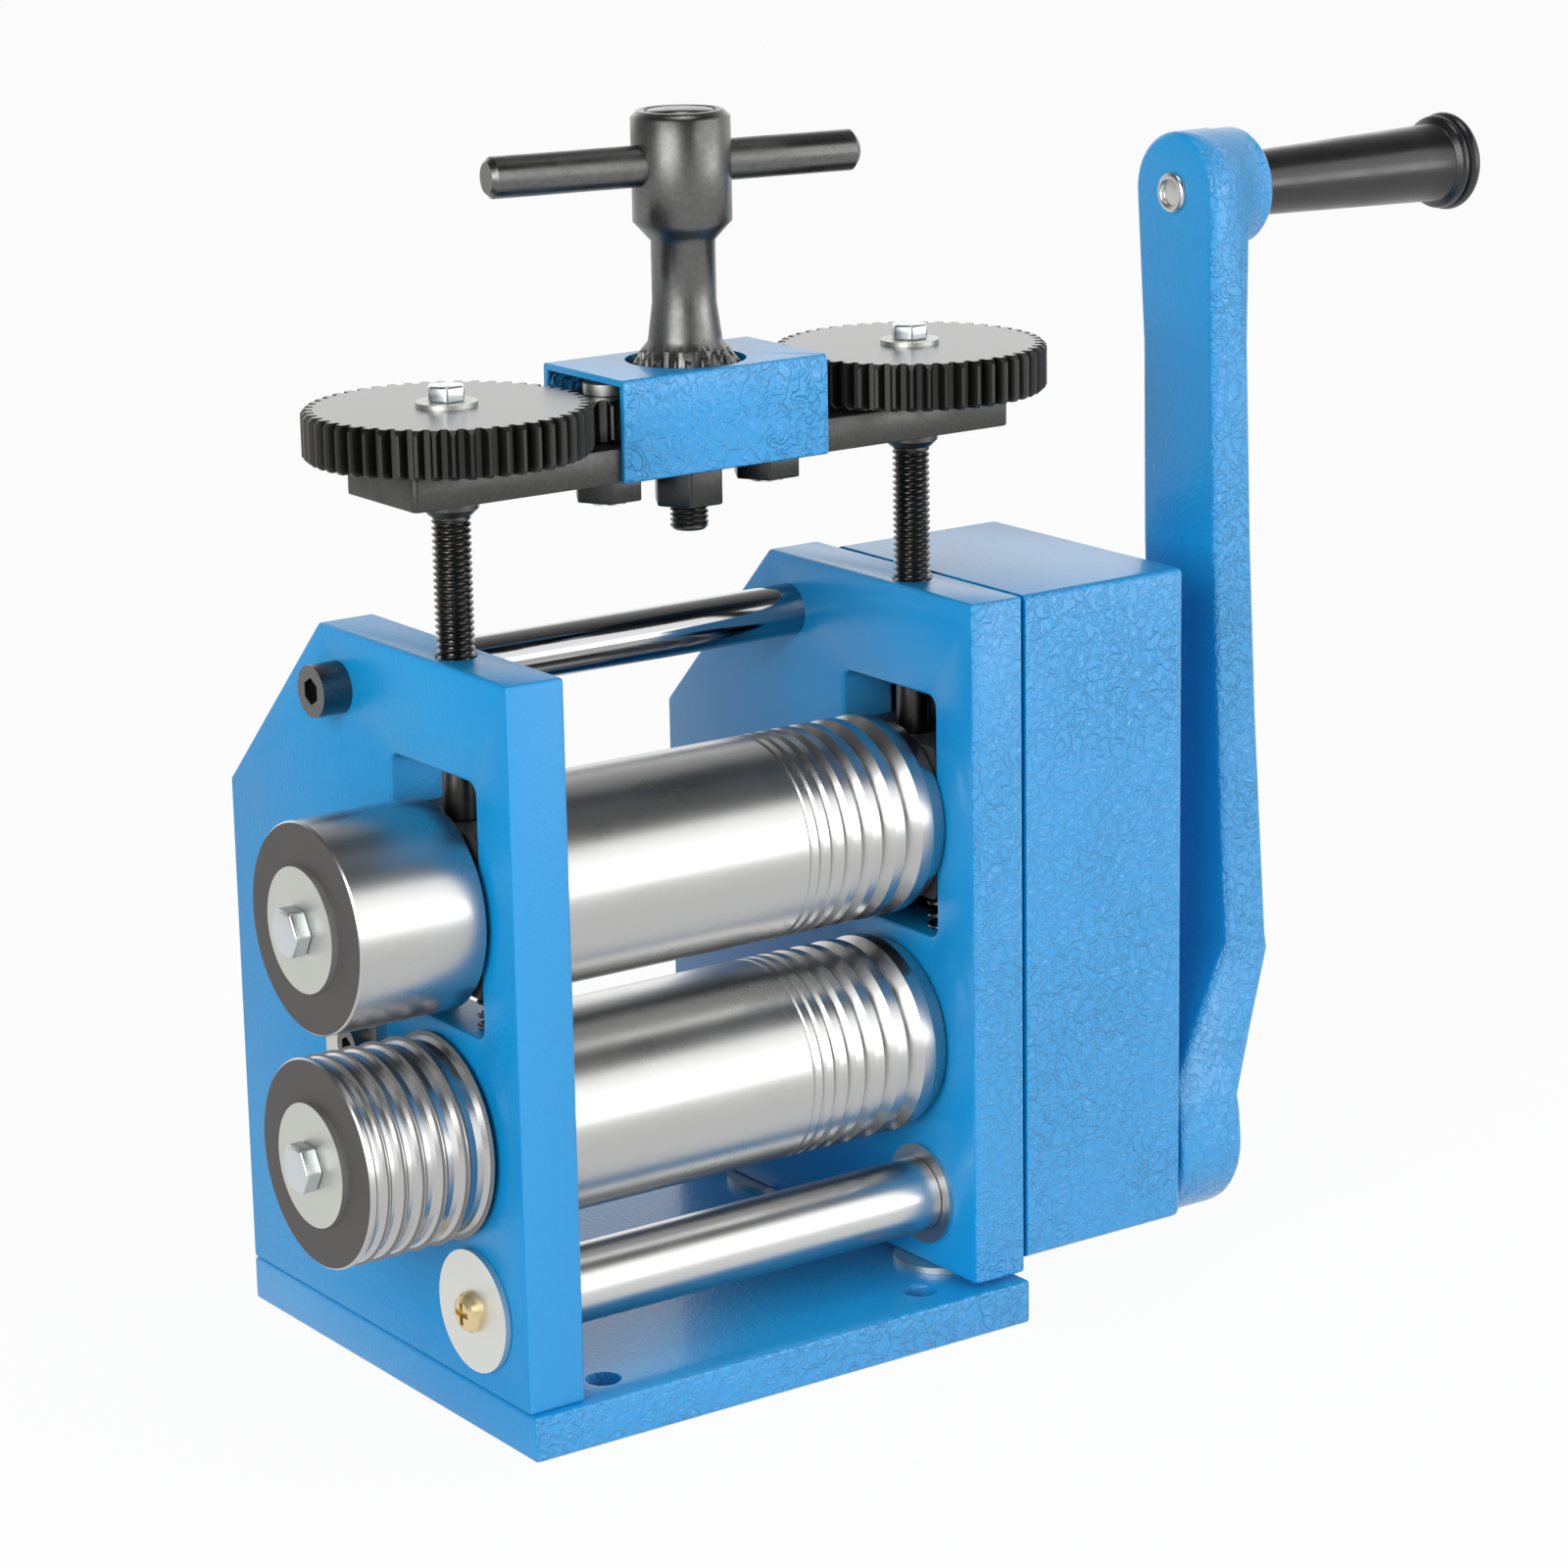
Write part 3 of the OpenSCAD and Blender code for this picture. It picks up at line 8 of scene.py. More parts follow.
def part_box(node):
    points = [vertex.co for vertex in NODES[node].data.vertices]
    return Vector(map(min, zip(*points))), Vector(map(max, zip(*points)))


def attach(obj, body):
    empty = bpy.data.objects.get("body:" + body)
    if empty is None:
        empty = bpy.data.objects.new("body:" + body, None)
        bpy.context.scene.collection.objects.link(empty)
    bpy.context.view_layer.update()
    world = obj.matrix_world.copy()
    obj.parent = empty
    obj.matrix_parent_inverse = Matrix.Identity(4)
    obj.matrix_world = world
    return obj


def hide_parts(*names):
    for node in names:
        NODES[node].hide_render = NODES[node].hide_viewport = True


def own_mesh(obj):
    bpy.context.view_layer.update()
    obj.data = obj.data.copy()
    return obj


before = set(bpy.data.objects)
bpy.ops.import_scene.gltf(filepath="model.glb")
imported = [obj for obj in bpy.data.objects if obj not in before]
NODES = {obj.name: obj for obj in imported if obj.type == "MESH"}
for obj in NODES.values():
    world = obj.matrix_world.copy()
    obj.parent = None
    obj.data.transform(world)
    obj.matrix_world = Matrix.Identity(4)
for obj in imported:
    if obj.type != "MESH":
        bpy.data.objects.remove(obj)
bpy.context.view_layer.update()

# Stations of the mill, in metres. X runs along the rolls, and the front is toward -Y.
ROLL_Y = -0.0305                        # plane of the upper roll, the screws and the T handle
SCREW_X = 0.064                         # the adjusting screws stand at both sides of the middle
IDLER_X = 0.022                         # and so do the idlers
PLATE_OUT = 0.0715                      # outer face of the right side plate
BAR_Z = 0.219                           # underside of the carrier bar
COVER_LOW, COVER_HIGH = 0.0159, 0.1819  # a touch inside the gearbox cover's lower and upper faces
SHAFT_Y, SHAFT_Z = -0.0425, 0.0304      # crank shaft
PIN_Y, PIN_Z = -0.0317, 0.2675          # pin of the grip
TOUCH = 0.0001                          # what counts as lying on a face


# ---- shader helpers ----

def material(name, color, metallic=0.0, roughness=0.4, coat=0.0):
    m = bpy.data.materials.new(name)
    m.use_nodes = True
    t = m.node_tree
    b = t.nodes["Principled BSDF"]
    b.inputs["Base Color"].default_value = (*color, 1)
    b.inputs["Metallic"].default_value = metallic
    b.inputs["Roughness"].default_value = roughness
    b.inputs["Coat Weight"].default_value = coat
    b.inputs["Coat Roughness"].default_value = 0.12
    return m, t, b


def node(t, kind, values=None, **attrs):
    n = t.nodes.new(kind)
    for k, v in attrs.items():
        setattr(n, k, v)
    for k, v in (values or {}).items():
        n.inputs[k].default_value = v
    return n


def coords(t, scale=(1, 1, 1)):
    """Object coordinates, stretched by scale."""
    c = node(t, "ShaderNodeTexCoord")
    m = node(t, "ShaderNodeVectorMath", operation="MULTIPLY")
    m.inputs[1].default_value = scale
    t.links.new(c.outputs["Object"], m.inputs[0])
    return m.outputs[0]


def noise(t, vector, scale, detail=2.0, rough=0.5, twist=0.0):
    values = {"Scale": scale, "Detail": detail, "Roughness": rough, "Distortion": twist}
    n = node(t, "ShaderNodeTexNoise", values)
    t.links.new(vector, n.inputs["Vector"])
    return n.outputs["Fac"]


def remap(t, value, low, high, to_low, to_high):
    values = {"From Min": low, "From Max": high, "To Min": to_low, "To Max": to_high}
    n = node(t, "ShaderNodeMapRange", values, interpolation_type="SMOOTHSTEP")
    t.links.new(value, n.inputs["Value"])
    return n.outputs["Result"]


def math_node(t, op, a, b=None):
    n = node(t, "ShaderNodeMath", operation=op)
    for i, v in enumerate((a, b)):
        if v is None:
            continue
        if isinstance(v, (int, float)):
            n.inputs[i].default_value = v
        else:
            t.links.new(v, n.inputs[i])
    return n.outputs[0]


def mix_color(t, fac, a, b):
    n = node(t, "ShaderNodeMix", {"A": (*a, 1), "B": (*b, 1)}, data_type="RGBA")
    t.links.new(fac, n.inputs["Factor"])
    return n.outputs["Result"]


def bump(t, b, height, strength, distance):
    n = node(t, "ShaderNodeBump", {"Strength": strength, "Distance": distance})
    t.links.new(height, n.inputs["Height"])
    t.links.new(n.outputs["Normal"], b.inputs["Normal"])


def facing(t, axis, low=0.85, high=0.95):
    """1 where the surface faces along the axis, either way."""
    c = node(t, "ShaderNodeTexCoord")
    s = node(t, "ShaderNodeSeparateXYZ")
    t.links.new(c.outputs["Normal"], s.inputs[0])
    return remap(t, math_node(t, "ABSOLUTE", s.outputs[axis]), low, high, 0.0, 1.0)


# ---- materials ----

BLUE = (0.005, 0.280, 0.620)
BLUE_HIGH = (0.008, 0.310, 0.670)
BLUE_LOW = (0.003, 0.240, 0.560)
BLUE_PAINTED_SHEEN = (0.045, 0.310, 0.660)       # painted sheen: faces to the front and the back get this paler blue, standing in for the front lamp's haze
# how far the painted sheen pales faces to the front and the back
PAINTED_SHEEN_SHARE = 0.85
WRINKLE_SCALE, SWELL_SCALE, PEEL_SCALE, CLOUD_SCALE = 360.0, 36.0, 1300.0, 9.0
WRINKLE_WIDTH = 0.12
VALLEY_ROUGHNESS, CREST_ROUGHNESS = 0.34, 0.13
PAINT_BUMP, PAINT_DEPTH = 0.85, 0.0005
FRONT_FADE = 0.003                      # how far behind the front edge the wrinkles end
TURNED = (0.3, 0.8)                     # from here to there a face turns into a front face


def paint(name, wrinkled=1.0, front=None, coat=0.18, gloss=0.42):
    """Blue enamel, wrinkled on faces to the front and the back, which also get a painted sheen of
    paler blue. With front, only near that Y.
    """
    m, t, b = material(name, BLUE, 0.0, 0.32, coat)
    b.inputs["Specular IOR Level"].default_value = gloss
    v = coords(t)
    worms = math_node(t, "SUBTRACT", noise(t, v, WRINKLE_SCALE, 1.0, 0.5, 0.7), 0.5)
    ridge = remap(t, math_node(t, "ABSOLUTE", worms), 0.0, WRINKLE_WIDTH, 1.0, 0.0)
    swell = remap(t, noise(t, v, SWELL_SCALE, 2.0), 0.35, 0.65, 0.45, 1.0)
    where = remap(t, facing(t, 1, *TURNED), 0.0, 1.0, 0.10, wrinkled)
    if front is not None:
        s = node(t, "ShaderNodeSeparateXYZ")
        t.links.new(v, s.inputs[0])
        near = remap(t, s.outputs[1], front, front + FRONT_FADE, 1.0, 0.1)
        where = math_node(t, "MULTIPLY", where, near)
    wrinkle = math_node(t, "MULTIPLY", math_node(t, "MULTIPLY", ridge, swell), where)
    peel = math_node(t, "MULTIPLY", noise(t, v, PEEL_SCALE, 2.0), 0.10)
    clouds = math_node(t, "ADD", noise(t, v, CLOUD_SCALE, 3.0),
                       math_node(t, "MULTIPLY", wrinkle, 0.25))
    shade = remap(t, clouds, 0.3, 0.8, 0.0, 1.0)
    # Painted sheen: faces to the front and the back are mixed toward a paler blue
    painted_sheen = node(t, "ShaderNodeMix", {"B": (*BLUE_PAINTED_SHEEN, 1)}, data_type="RGBA")
    painted_sheen_where = math_node(t, "MULTIPLY", facing(t, 1, *TURNED), PAINTED_SHEEN_SHARE)
    t.links.new(painted_sheen_where, painted_sheen.inputs["Factor"])
    t.links.new(mix_color(t, shade, BLUE_LOW, BLUE_HIGH), painted_sheen.inputs["A"])
    t.links.new(painted_sheen.outputs["Result"], b.inputs["Base Color"])
    rough = remap(t, wrinkle, 0.0, 1.0, VALLEY_ROUGHNESS, CREST_ROUGHNESS)
    t.links.new(rough, b.inputs["Roughness"])
    bump(t, b, math_node(t, "ADD", wrinkle, peel), PAINT_BUMP, PAINT_DEPTH)
    return m


ENAMEL = paint("blue_enamel")
SMOOTH = paint("blue_smooth", 0.10, coat=0.0, gloss=0.22)
FRONT = paint("blue_front", 0.8, front=-0.063)


def steel(name, color, roughness, lines, end_color=None):
    """Metal with turned lines round the X axis, and end faces of their own colour."""
    m, t, b = material(name, color, 1.0, roughness)
    turned_lines = noise(t, coords(t, (1, 0.02, 0.02)), 5200.0, 2.0, 0.7)
    smear = remap(t, noise(t, coords(t), 55.0, 3.0), 0.3, 0.7, roughness * 0.94, roughness * 1.08)
    rough = math_node(t, "ADD", smear, math_node(t, "MULTIPLY", turned_lines, roughness * 0.12))
    if end_color:
        end = facing(t, 0)
        end_rough = math_node(t, "ADD", rough, math_node(t, "MULTIPLY", end, 0.30))
        end_metal = math_node(t, "SUBTRACT", 1.0, math_node(t, "MULTIPLY", end, 0.6))
        t.links.new(mix_color(t, end, color, end_color), b.inputs["Base Color"])
        t.links.new(end_rough, b.inputs["Roughness"])
        t.links.new(end_metal, b.inputs["Metallic"])
    else:
        t.links.new(rough, b.inputs["Roughness"])
    bump(t, b, turned_lines, lines, 0.00003)
    return m


ROLL = steel("roll_steel", (0.48, 0.48, 0.475), 0.27, 0.10, (0.085, 0.080, 0.076))
SHAFT = steel("shaft_steel", (0.58, 0.58, 0.572), 0.28, 0.10)
TIE = steel("tie_steel", (0.36, 0.36, 0.365), 0.09, 0.15)
ZINC = steel("zinc", (0.60, 0.61, 0.57), 0.40, 0.15)
BRIGHT_ZINC = steel("bright_zinc", (0.72, 0.73, 0.69), 0.42, 0.15)
BOLT = steel("bolt_zinc", (0.60, 0.64, 0.66), 0.26, 0.05)
BRONZE = steel("bronze", (0.55, 0.36, 0.15), 0.30, 0.4)
YELLOW = steel("yellow_zinc", (0.72, 0.58, 0.33), 0.28, 0.1)


def black(name, color, roughness, metallic=1.0, scale=900.0, strength=0.05):
    """Oiled black oxide: nearly black, with a worn grain."""
    m, t, b = material(name, color, metallic, roughness)
    v = coords(t)
    grain = noise(t, v, scale, 4.0, 0.6)
    dark = tuple(c * 0.9 for c in color)
    light = tuple(c * 1.12 for c in color)
    worn = mix_color(t, remap(t, grain, 0.3, 0.7, 0.0, 1.0), dark, light)
    oil = remap(t, noise(t, v, 70.0, 3.0), 0.3, 0.7, roughness * 0.8, roughness * 1.25)
    t.links.new(worn, b.inputs["Base Color"])
    t.links.new(oil, b.inputs["Roughness"])
    bump(t, b, grain, strength, 0.0001)
    return m


OXIDE = black("black_oxide", (0.135, 0.135, 0.133), 0.33)
BAR = black("bar_oxide", (0.070, 0.070, 0.068), 0.42)
BLOCK = black("cast_block", (0.055, 0.055, 0.058), 0.50, 0.5, 250.0, 0.35)
GEAR = black("gear_oxide", (0.16, 0.16, 0.16), 0.38)
NUT = black("nut_oxide", (0.050, 0.050, 0.050), 0.30)
SPRING = black("spring_steel", (0.20, 0.20, 0.198), 0.30)
THREAD = black("thread_oxide", (0.085, 0.083, 0.080), 0.32)

GROUND_R, TEETH_R = 0.0308, 0.0314      # the ground top ends between these, at the root of the teeth


def gear_face(name, x):
    """Black teeth and a ground, bright top face, about an upright axis at x."""
    m, t, b = material(name, (0.04, 0.04, 0.04), 0.9, 0.3)
    c = node(t, "ShaderNodeTexCoord")
    d = node(t, "ShaderNodeVectorMath", operation="SUBTRACT")
    d.inputs[1].default_value = (x, ROLL_Y, 0)
    t.links.new(c.outputs["Object"], d.inputs[0])
    flat = node(t, "ShaderNodeVectorMath", operation="MULTIPLY")
    flat.inputs[1].default_value = (1, 1, 0)
    t.links.new(d.outputs[0], flat.inputs[0])
    length = node(t, "ShaderNodeVectorMath", operation="LENGTH")
    t.links.new(flat.outputs[0], length.inputs[0])
    r = length.outputs["Value"]
    ground = remap(t, r, GROUND_R, TEETH_R, 1.0, 0.0)
    face = math_node(t, "MULTIPLY", facing(t, 2, 0.9, 0.97), ground)
    rings = node(t, "ShaderNodeTexNoise", {"Scale": 3200.0, "Detail": 2.0}, noise_dimensions="1D")
    t.links.new(r, rings.inputs["W"])
    color = mix_color(t, face, (0.045, 0.044, 0.043), (0.18, 0.18, 0.177))
    t.links.new(color, b.inputs["Base Color"])
    t.links.new(remap(t, face, 0.0, 1.0, 0.36, 0.30), b.inputs["Roughness"])
    bump(t, b, rings.outputs["Fac"], 0.12, 0.00003)
    return m


def plastic(name):
    """Black moulded plastic with a faint grain."""
    m, t, b = material(name, (0.008, 0.008, 0.009), 0.0, 0.30, 0.15)
    t.links.new(remap(t, noise(t, coords(t), 60.0), 0.3, 0.7, 0.24, 0.36), b.inputs["Roughness"])
    bump(t, b, noise(t, coords(t), 700.0, 2.0), 0.04, 0.0001)
    return m


GRIP = plastic("grip_plastic")


# ---- mesh helpers ----

OWN_ANGLE, SKIN_ANGLE, NODE_ANGLE = 32, 28, 30  # edges sharper than this stay sharp, in degrees
MERGE = 1e-6
FLAT = math.radians(0.4)                # faces that lean by less are one face
CONVEX = math.radians(30)               # outer edges that turn by more are rounded
RIM_STEP = 0.004                        # longest edge in the rim of a bore
COVER_STEP = 0.02                       # the same for the gearbox cover


def smooth(mesh, degrees):
    """Smooth shading, with the edges sharper than that kept sharp."""
    for p in mesh.polygons:
        p.use_smooth = True
    mesh.set_sharp_from_angle(angle=math.radians(degrees))


def add(name, mesh, degrees, mat, body):
    """Puts the mesh in the scene, on its body and with its one material."""
    smooth(mesh, degrees)
    o = bpy.data.objects.new(name, mesh)
    bpy.context.scene.collection.objects.link(o)
    mesh.materials.clear()
    mesh.materials.append(mat)
    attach(o, body)
    return o


def piece(name, verts, faces, mat, body, stands_for=()):
    mesh = bpy.data.meshes.new(name)
    mesh.from_pydata([tuple(v) for v in verts], [], faces)
    mesh.validate()
    o = add(name, mesh, OWN_ANGLE, mat, body)
    if stands_for:
        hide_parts(*stands_for)
    return o


def rings_mesh(rings):
    """Verts and faces of a closed tube through rings of equal length, capped at both ends."""
    n = len(rings[0])
    verts = [p for ring in rings for p in ring]
    faces = []
    for i in range(len(rings) - 1):
        for k in range(n):
            a, b = i * n + k, i * n + (k + 1) % n
            faces.append((a, b, b + n, a + n))
    faces.append(tuple(range(n))[::-1])
    faces.append(tuple((len(rings) - 1) * n + k for k in range(n)))
    return verts, faces


def turned(rings, place):
    """Turned shape: a ring is (radius, height) per corner, and place puts it from its own axis."""
    moved = []
    for ring in rings:
        points = []
        for k, (r, h) in enumerate(ring):
            a = 2 * math.pi * k / len(ring)
            points.append(place @ Vector((r * math.cos(a), r * math.sin(a), h)))
        moved.append(points)
    return rings_mesh(moved)


def plain(profile, sides):
    """Round rings through a profile of (radius, height)."""
    return [[point] * sides for point in profile]


def arc(r, h, radius, first, last, step):
    """Profile points on an arc round (r, h), by degrees."""
    angles = [math.radians(a) for a in range(first, last, step)]
    return [(r + radius * math.cos(a), h + radius * math.sin(a)) for a in angles]


THREAD_SIDES, THREAD_RINGS = 28, 7      # corners in a ring, and rings in a pitch
RUN_OUT = 0.25                          # depth of the thread at its very ends
CREST, FLANK = 0.12, 1.35               # flat crest and steepness of its sides


def threaded(below, above, z0, z1, r, depth, pitch, place):
    """Right hand thread of outer radius r from z0 to z1, between two plain profiles."""
    rings = []
    steps = round((z1 - z0) / pitch * THREAD_RINGS)
    for i in range(steps + 1):
        h = z0 + (z1 - z0) * i / steps
        fade = min(1.0, (h - z0) / pitch + RUN_OUT, (z1 - h) / pitch + RUN_OUT)
        ring = []
        for k in range(THREAD_SIDES):
            phase = (h / pitch - k / THREAD_SIDES) % 1.0
            groove = min(1.0, max(0.0, (abs(2 * phase - 1) - CREST) * FLANK))
            ring.append((r - depth * fade * groove, h))
        rings.append(ring)
    return turned(plain(below, THREAD_SIDES) + rings + plain(above, THREAD_SIDES), place)


def skin(name, mat, body, shape, degrees=SKIN_ANGLE):
    """A copy of a CAD node's shape, worked over by shape, that stands for the node."""
    bm = bmesh.new()
    bm.from_mesh(NODES[name].data)
    bmesh.ops.remove_doubles(bm, verts=bm.verts, dist=MERGE)
    shape(bm)
    mesh = bpy.data.meshes.new(name + "_skin")
    bm.to_mesh(mesh)
    bm.free()
    o = add(name + "_skin", mesh, degrees, mat, body)
    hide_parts(name)


def softened(name, mat, body, width, keep=None, segments=3, after=None):
    """A skin with its sharp outer edges rounded, or those that keep picks, and moved by after."""
    def shape(bm):
        bmesh.ops.dissolve_limit(bm, angle_limit=FLAT, verts=bm.verts, edges=bm.edges)
        edges = []
        for e in bm.edges:
            if len(e.link_faces) == 2 and e.is_convex and e.calc_face_angle(0) > CONVEX:
                if keep is None or keep((e.verts[0].co + e.verts[1].co) / 2, e):
                    edges.append(e)
        bmesh.ops.bevel(bm, geom=edges, offset=width, offset_type="OFFSET", segments=segments,
                        profile=0.5, affect="EDGES", clamp_overlap=False)
        bmesh.ops.dissolve_degenerate(bm, dist=1e-5, edges=bm.edges)
        bmesh.ops.triangulate(bm, faces=[f for f in bm.faces if len(f.verts) > 4])
        if after:
            for v in bm.verts:
                after(v.co)
    skin(name, mat, body, shape)


def straight(middle, edge):
    """Edges that aren't part of a hole's rim."""
    return edge.calc_length() > RIM_STEP


def cover_edge(middle, edge):
    """The gearbox cover's outer edges, without the rim at the side plate and the holes."""
    if middle.x < PLATE_OUT + TOUCH:
        return False
    return middle.z > COVER_HIGH or middle.z < COVER_LOW or edge.calc_length() > COVER_STEP


SEAM = 0.0009


def cover_seam(place):
    """The cover stands a little off the side plate, and leaves a dark seam."""
    if place.x < PLATE_OUT + 2 * TOUCH:
        place.x += SEAM


BOSS_R, BOSS_X0, BOSS_X1 = 0.030, 0.150, 0.160
SHAFT_BORE, PIN_BORE = 0.012, 0.009


def arm_edge(middle, edge):
    """The crank arm's outer edges, without its two bores and the root of the pin's boss."""
    from_shaft = math.hypot(middle.y - SHAFT_Y, middle.z - SHAFT_Z)
    from_pin = math.hypot(middle.y - PIN_Y, middle.z - PIN_Z)
    if from_pin < BOSS_R and BOSS_X0 < middle.x < BOSS_X1:
        return False
    return from_shaft > SHAFT_BORE and from_pin > PIN_BORE


# How far the arm's rear edge moves back, by height
ARM_FULLER = ((0.058, 0.0), (0.080, 0.0026), (0.137, 0.0033), (0.180, 0.0031), (0.229, 0.0003),
              (0.245, 0.0))
ARM_LEAN = 0.0455                       # the arm's middle line leans to the back by this slope
ARM_REAR = 0.006                        # and points further behind it are at the rear edge


def arm_rear(place):
    """The arm's rear edge is a little fuller between hub and eye than the solid's."""
    if place.y < SHAFT_Y + (place.z - SHAFT_Z) * ARM_LEAN + ARM_REAR:
        return
    for (z0, w0), (z1, w1) in zip(ARM_FULLER, ARM_FULLER[1:]):
        if z0 <= place.z <= z1:
            place.y += w0 + (w1 - w0) * (place.z - z0) / (z1 - z0)
            return


BAR_CORNER_X = 0.076


def bar_edge(middle, edge):
    """The carrier bar's outline, with its rounded corners and without its bores."""
    return abs(middle.x) > BAR_CORNER_X or edge.calc_length() > RIM_STEP


STUD_R, STUD_CORE = 0.0045, 0.84


def stud_core(bm):
    """The spindle's tail shrinks to the root of its thread, which is a piece of its own."""
    for v in bm.verts:
        if v.co.z < BAR_Z - TOUCH and math.hypot(v.co.x, v.co.y - ROLL_Y) < STUD_R:
            v.co.x *= STUD_CORE
            v.co.y = ROLL_Y + (v.co.y - ROLL_Y) * STUD_CORE


BEND_LENGTH = 0.03


def bend(middle, edge):
    """The long bends of the head cover's sheet."""
    return abs(edge.verts[0].co.x - edge.verts[1].co.x) > BEND_LENGTH


def wider(centre_x, scale):
    """Widens nuts that stand on upright axes at centre_x, on either side of the mill's middle."""
    def move(place):
        x = math.copysign(centre_x, place.x)
        place.x = x + (place.x - x) * scale
        place.y = ROLL_Y + (place.y - ROLL_Y) * scale
    return move


# ---- pieces that stand for CAD nodes ----

softened("base_plate", ENAMEL, "frame", 0.0009, straight)
softened("left_side_plate", SMOOTH, "frame", 0.0009)
softened("right_side_plate", FRONT, "frame", 0.0009)
softened("gearbox_cover", ENAMEL, "frame", 0.0018, cover_edge, 4, cover_seam)
softened("crank_arm", ENAMEL, "crank_set", 0.0018, arm_edge, 4, arm_rear)
softened("head_cover", ENAMEL, "head", 0.0009, bend)
softened("carrier_bar", BAR, "head", 0.0005, bar_edge, 2)
softened("grip_pin", SHAFT, "crank_set", 0.0008)
softened("centre_nut", NUT, "t_handle_set", 0.0005, after=wider(0.0, 1.16))
softened("idler_nuts", NUT, "head", 0.0004, after=wider(IDLER_X, 1.12))
for name, body in (("upper_roll_bolt", "upper_roll_set"), ("lower_roll_bolt", "lower_roll_set"),
                   ("left_gear_bolt", "left_screw_set"), ("right_gear_bolt", "right_screw_set")):
    softened(name, BOLT, body, 0.0006)

# The spindle's tail, with its thread below the centre nut
skin("t_spindle", OXIDE, "t_handle_set", stud_core, 36)
STUD_PITCH, STUD_DEPTH = 0.00125, 0.0007
STUD_LOW = [(0.0036, 0.2027), (0.0037, 0.2027), (0.0042, 0.2033)]
STUD_TOP = [(0.0040, 0.2105)]
v, f = threaded(STUD_LOW, STUD_TOP, 0.2034, 0.2102, STUD_R, STUD_DEPTH, STUD_PITCH,
                Matrix.Translation((0, ROLL_Y, 0)))
piece("stud_thread", v, f, THREAD, "t_handle_set")

# Adjusting screws: plain tip in the window, thread, collar under the bar and journal in the gear
SCREW_R, SCREW_PITCH, SCREW_DEPTH = 0.0045, 0.0015, 0.00085
SCREW_LOW = [(0.0034, 0.1436), (0.0035, 0.1436), (0.0042, 0.1443), (0.0042, 0.1590)]
SCREW_TOP = [(0.0041, 0.2144), (0.0050, 0.2144), (0.0065, 0.2159), (0.0065, 0.2188),
             (0.0050, 0.2188), (0.0050, 0.2272), (0.00495, 0.2272), (0.00495, 0.2385)]
for side, x in (("left", -SCREW_X), ("right", SCREW_X)):
    v, f = threaded(SCREW_LOW, SCREW_TOP, 0.1595, 0.2140, SCREW_R, SCREW_DEPTH, SCREW_PITCH,
                    Matrix.Translation((x, ROLL_Y, 0)))
    piece(side + "_threaded_screw", v, f, THREAD, side + "_screw_set",
          (side + "_screw",))

# Return springs under the upper bearing blocks; the real ones shorten as the carriage goes down,
# these keep one length
SPRING_R, WIRE_R, CURLS, PER_CURL, WIRE_SIDES = 0.0035, 0.0006, 6, 22, 10
SPRING_Z0, SPRING_Z1 = 0.0971, 0.1134
SPRING_Y = 0.0115                       # in front of and behind the roll's axis
FLAT_END = 0.6                          # turns that lie flat at either end
verts, faces = [], []
for x, y in ((-SCREW_X, -SPRING_Y), (-SCREW_X, SPRING_Y), (SCREW_X, -SPRING_Y), (SCREW_X, SPRING_Y)):
    rings = []
    for k in range(CURLS * PER_CURL + 1):
        a = 2 * math.pi * k / PER_CURL
        share = max(0.0, min(1.0, (k / PER_CURL - FLAT_END) / (CURLS - 2 * FLAT_END)))
        z = SPRING_Z0 + WIRE_R + (SPRING_Z1 - SPRING_Z0 - 2 * WIRE_R) * share
        centre = Vector((x, ROLL_Y + y, z))
        out = Vector((math.cos(a), math.sin(a), 0))
        ring = []
        for s in range(WIRE_SIDES):
            b = 2 * math.pi * s / WIRE_SIDES
            ring.append(centre + out * (SPRING_R + WIRE_R * math.cos(b))
                        + Vector((0, 0, WIRE_R * math.sin(b))))
        rings.append(ring[::-1])
    v, f = rings_mesh(rings)
    faces += [tuple(i + len(verts) for i in face) for face in f]
    verts += v
springs = piece("coil_springs", verts, faces, SPRING, "frame", ("return_springs",))
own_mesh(springs)

# Riveted end of the grip's pin: a rolled rim round a dished middle
RIM_R, RIM_ROLL = 0.0040, 0.0010
pin_low, pin_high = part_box("grip_pin")
pin_y, pin_z = (pin_low[1] + pin_high[1]) / 2, (pin_low[2] + pin_high[2]) / 2
against_x = (Matrix.Translation((pin_low[0] + 0.0002, pin_y, pin_z))
             @ Matrix.Rotation(math.radians(-90), 4, "Y"))
rim = [(0.0050, -0.0004)] + arc(RIM_R, 0.0, RIM_ROLL, 0, 181, 20) + [(0.0028, -0.0001)]
v, f = turned(plain(rim, 40), against_x)
piece("pin_rivet", v, f, SHAFT, "crank_set")

# Hand grip: slender taper, two beads and a hollow end
TAPER_R0, TAPER_R1, TAPER_STEPS = 0.0079, 0.0098, 8
grip_low, grip_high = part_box("hand_grip")
grip_len = grip_high[0] - grip_low[0]
grip_y, grip_z = (grip_low[1] + grip_high[1]) / 2, (grip_low[2] + grip_high[2]) / 2
along_x = (Matrix.Translation((grip_low[0], grip_y, grip_z))
           @ Matrix.Rotation(math.radians(90), 4, "Y"))
profile = [(0.0046, 0.0), (0.0072, 0.0), (TAPER_R0, 0.0008)]
for i in range(1, TAPER_STEPS + 1):
    share = i / TAPER_STEPS
    profile.append((TAPER_R0 + (TAPER_R1 - TAPER_R0) * share, 0.0008 + (grip_len - 0.0080) * share))
profile += [(0.0100, grip_len - 0.0068), (0.0105, grip_len - 0.0065)]
profile += arc(0.01010, grip_len - 0.0047, 0.0017, -70, 46, 15)
profile += [(0.0112, grip_len - 0.0034)]
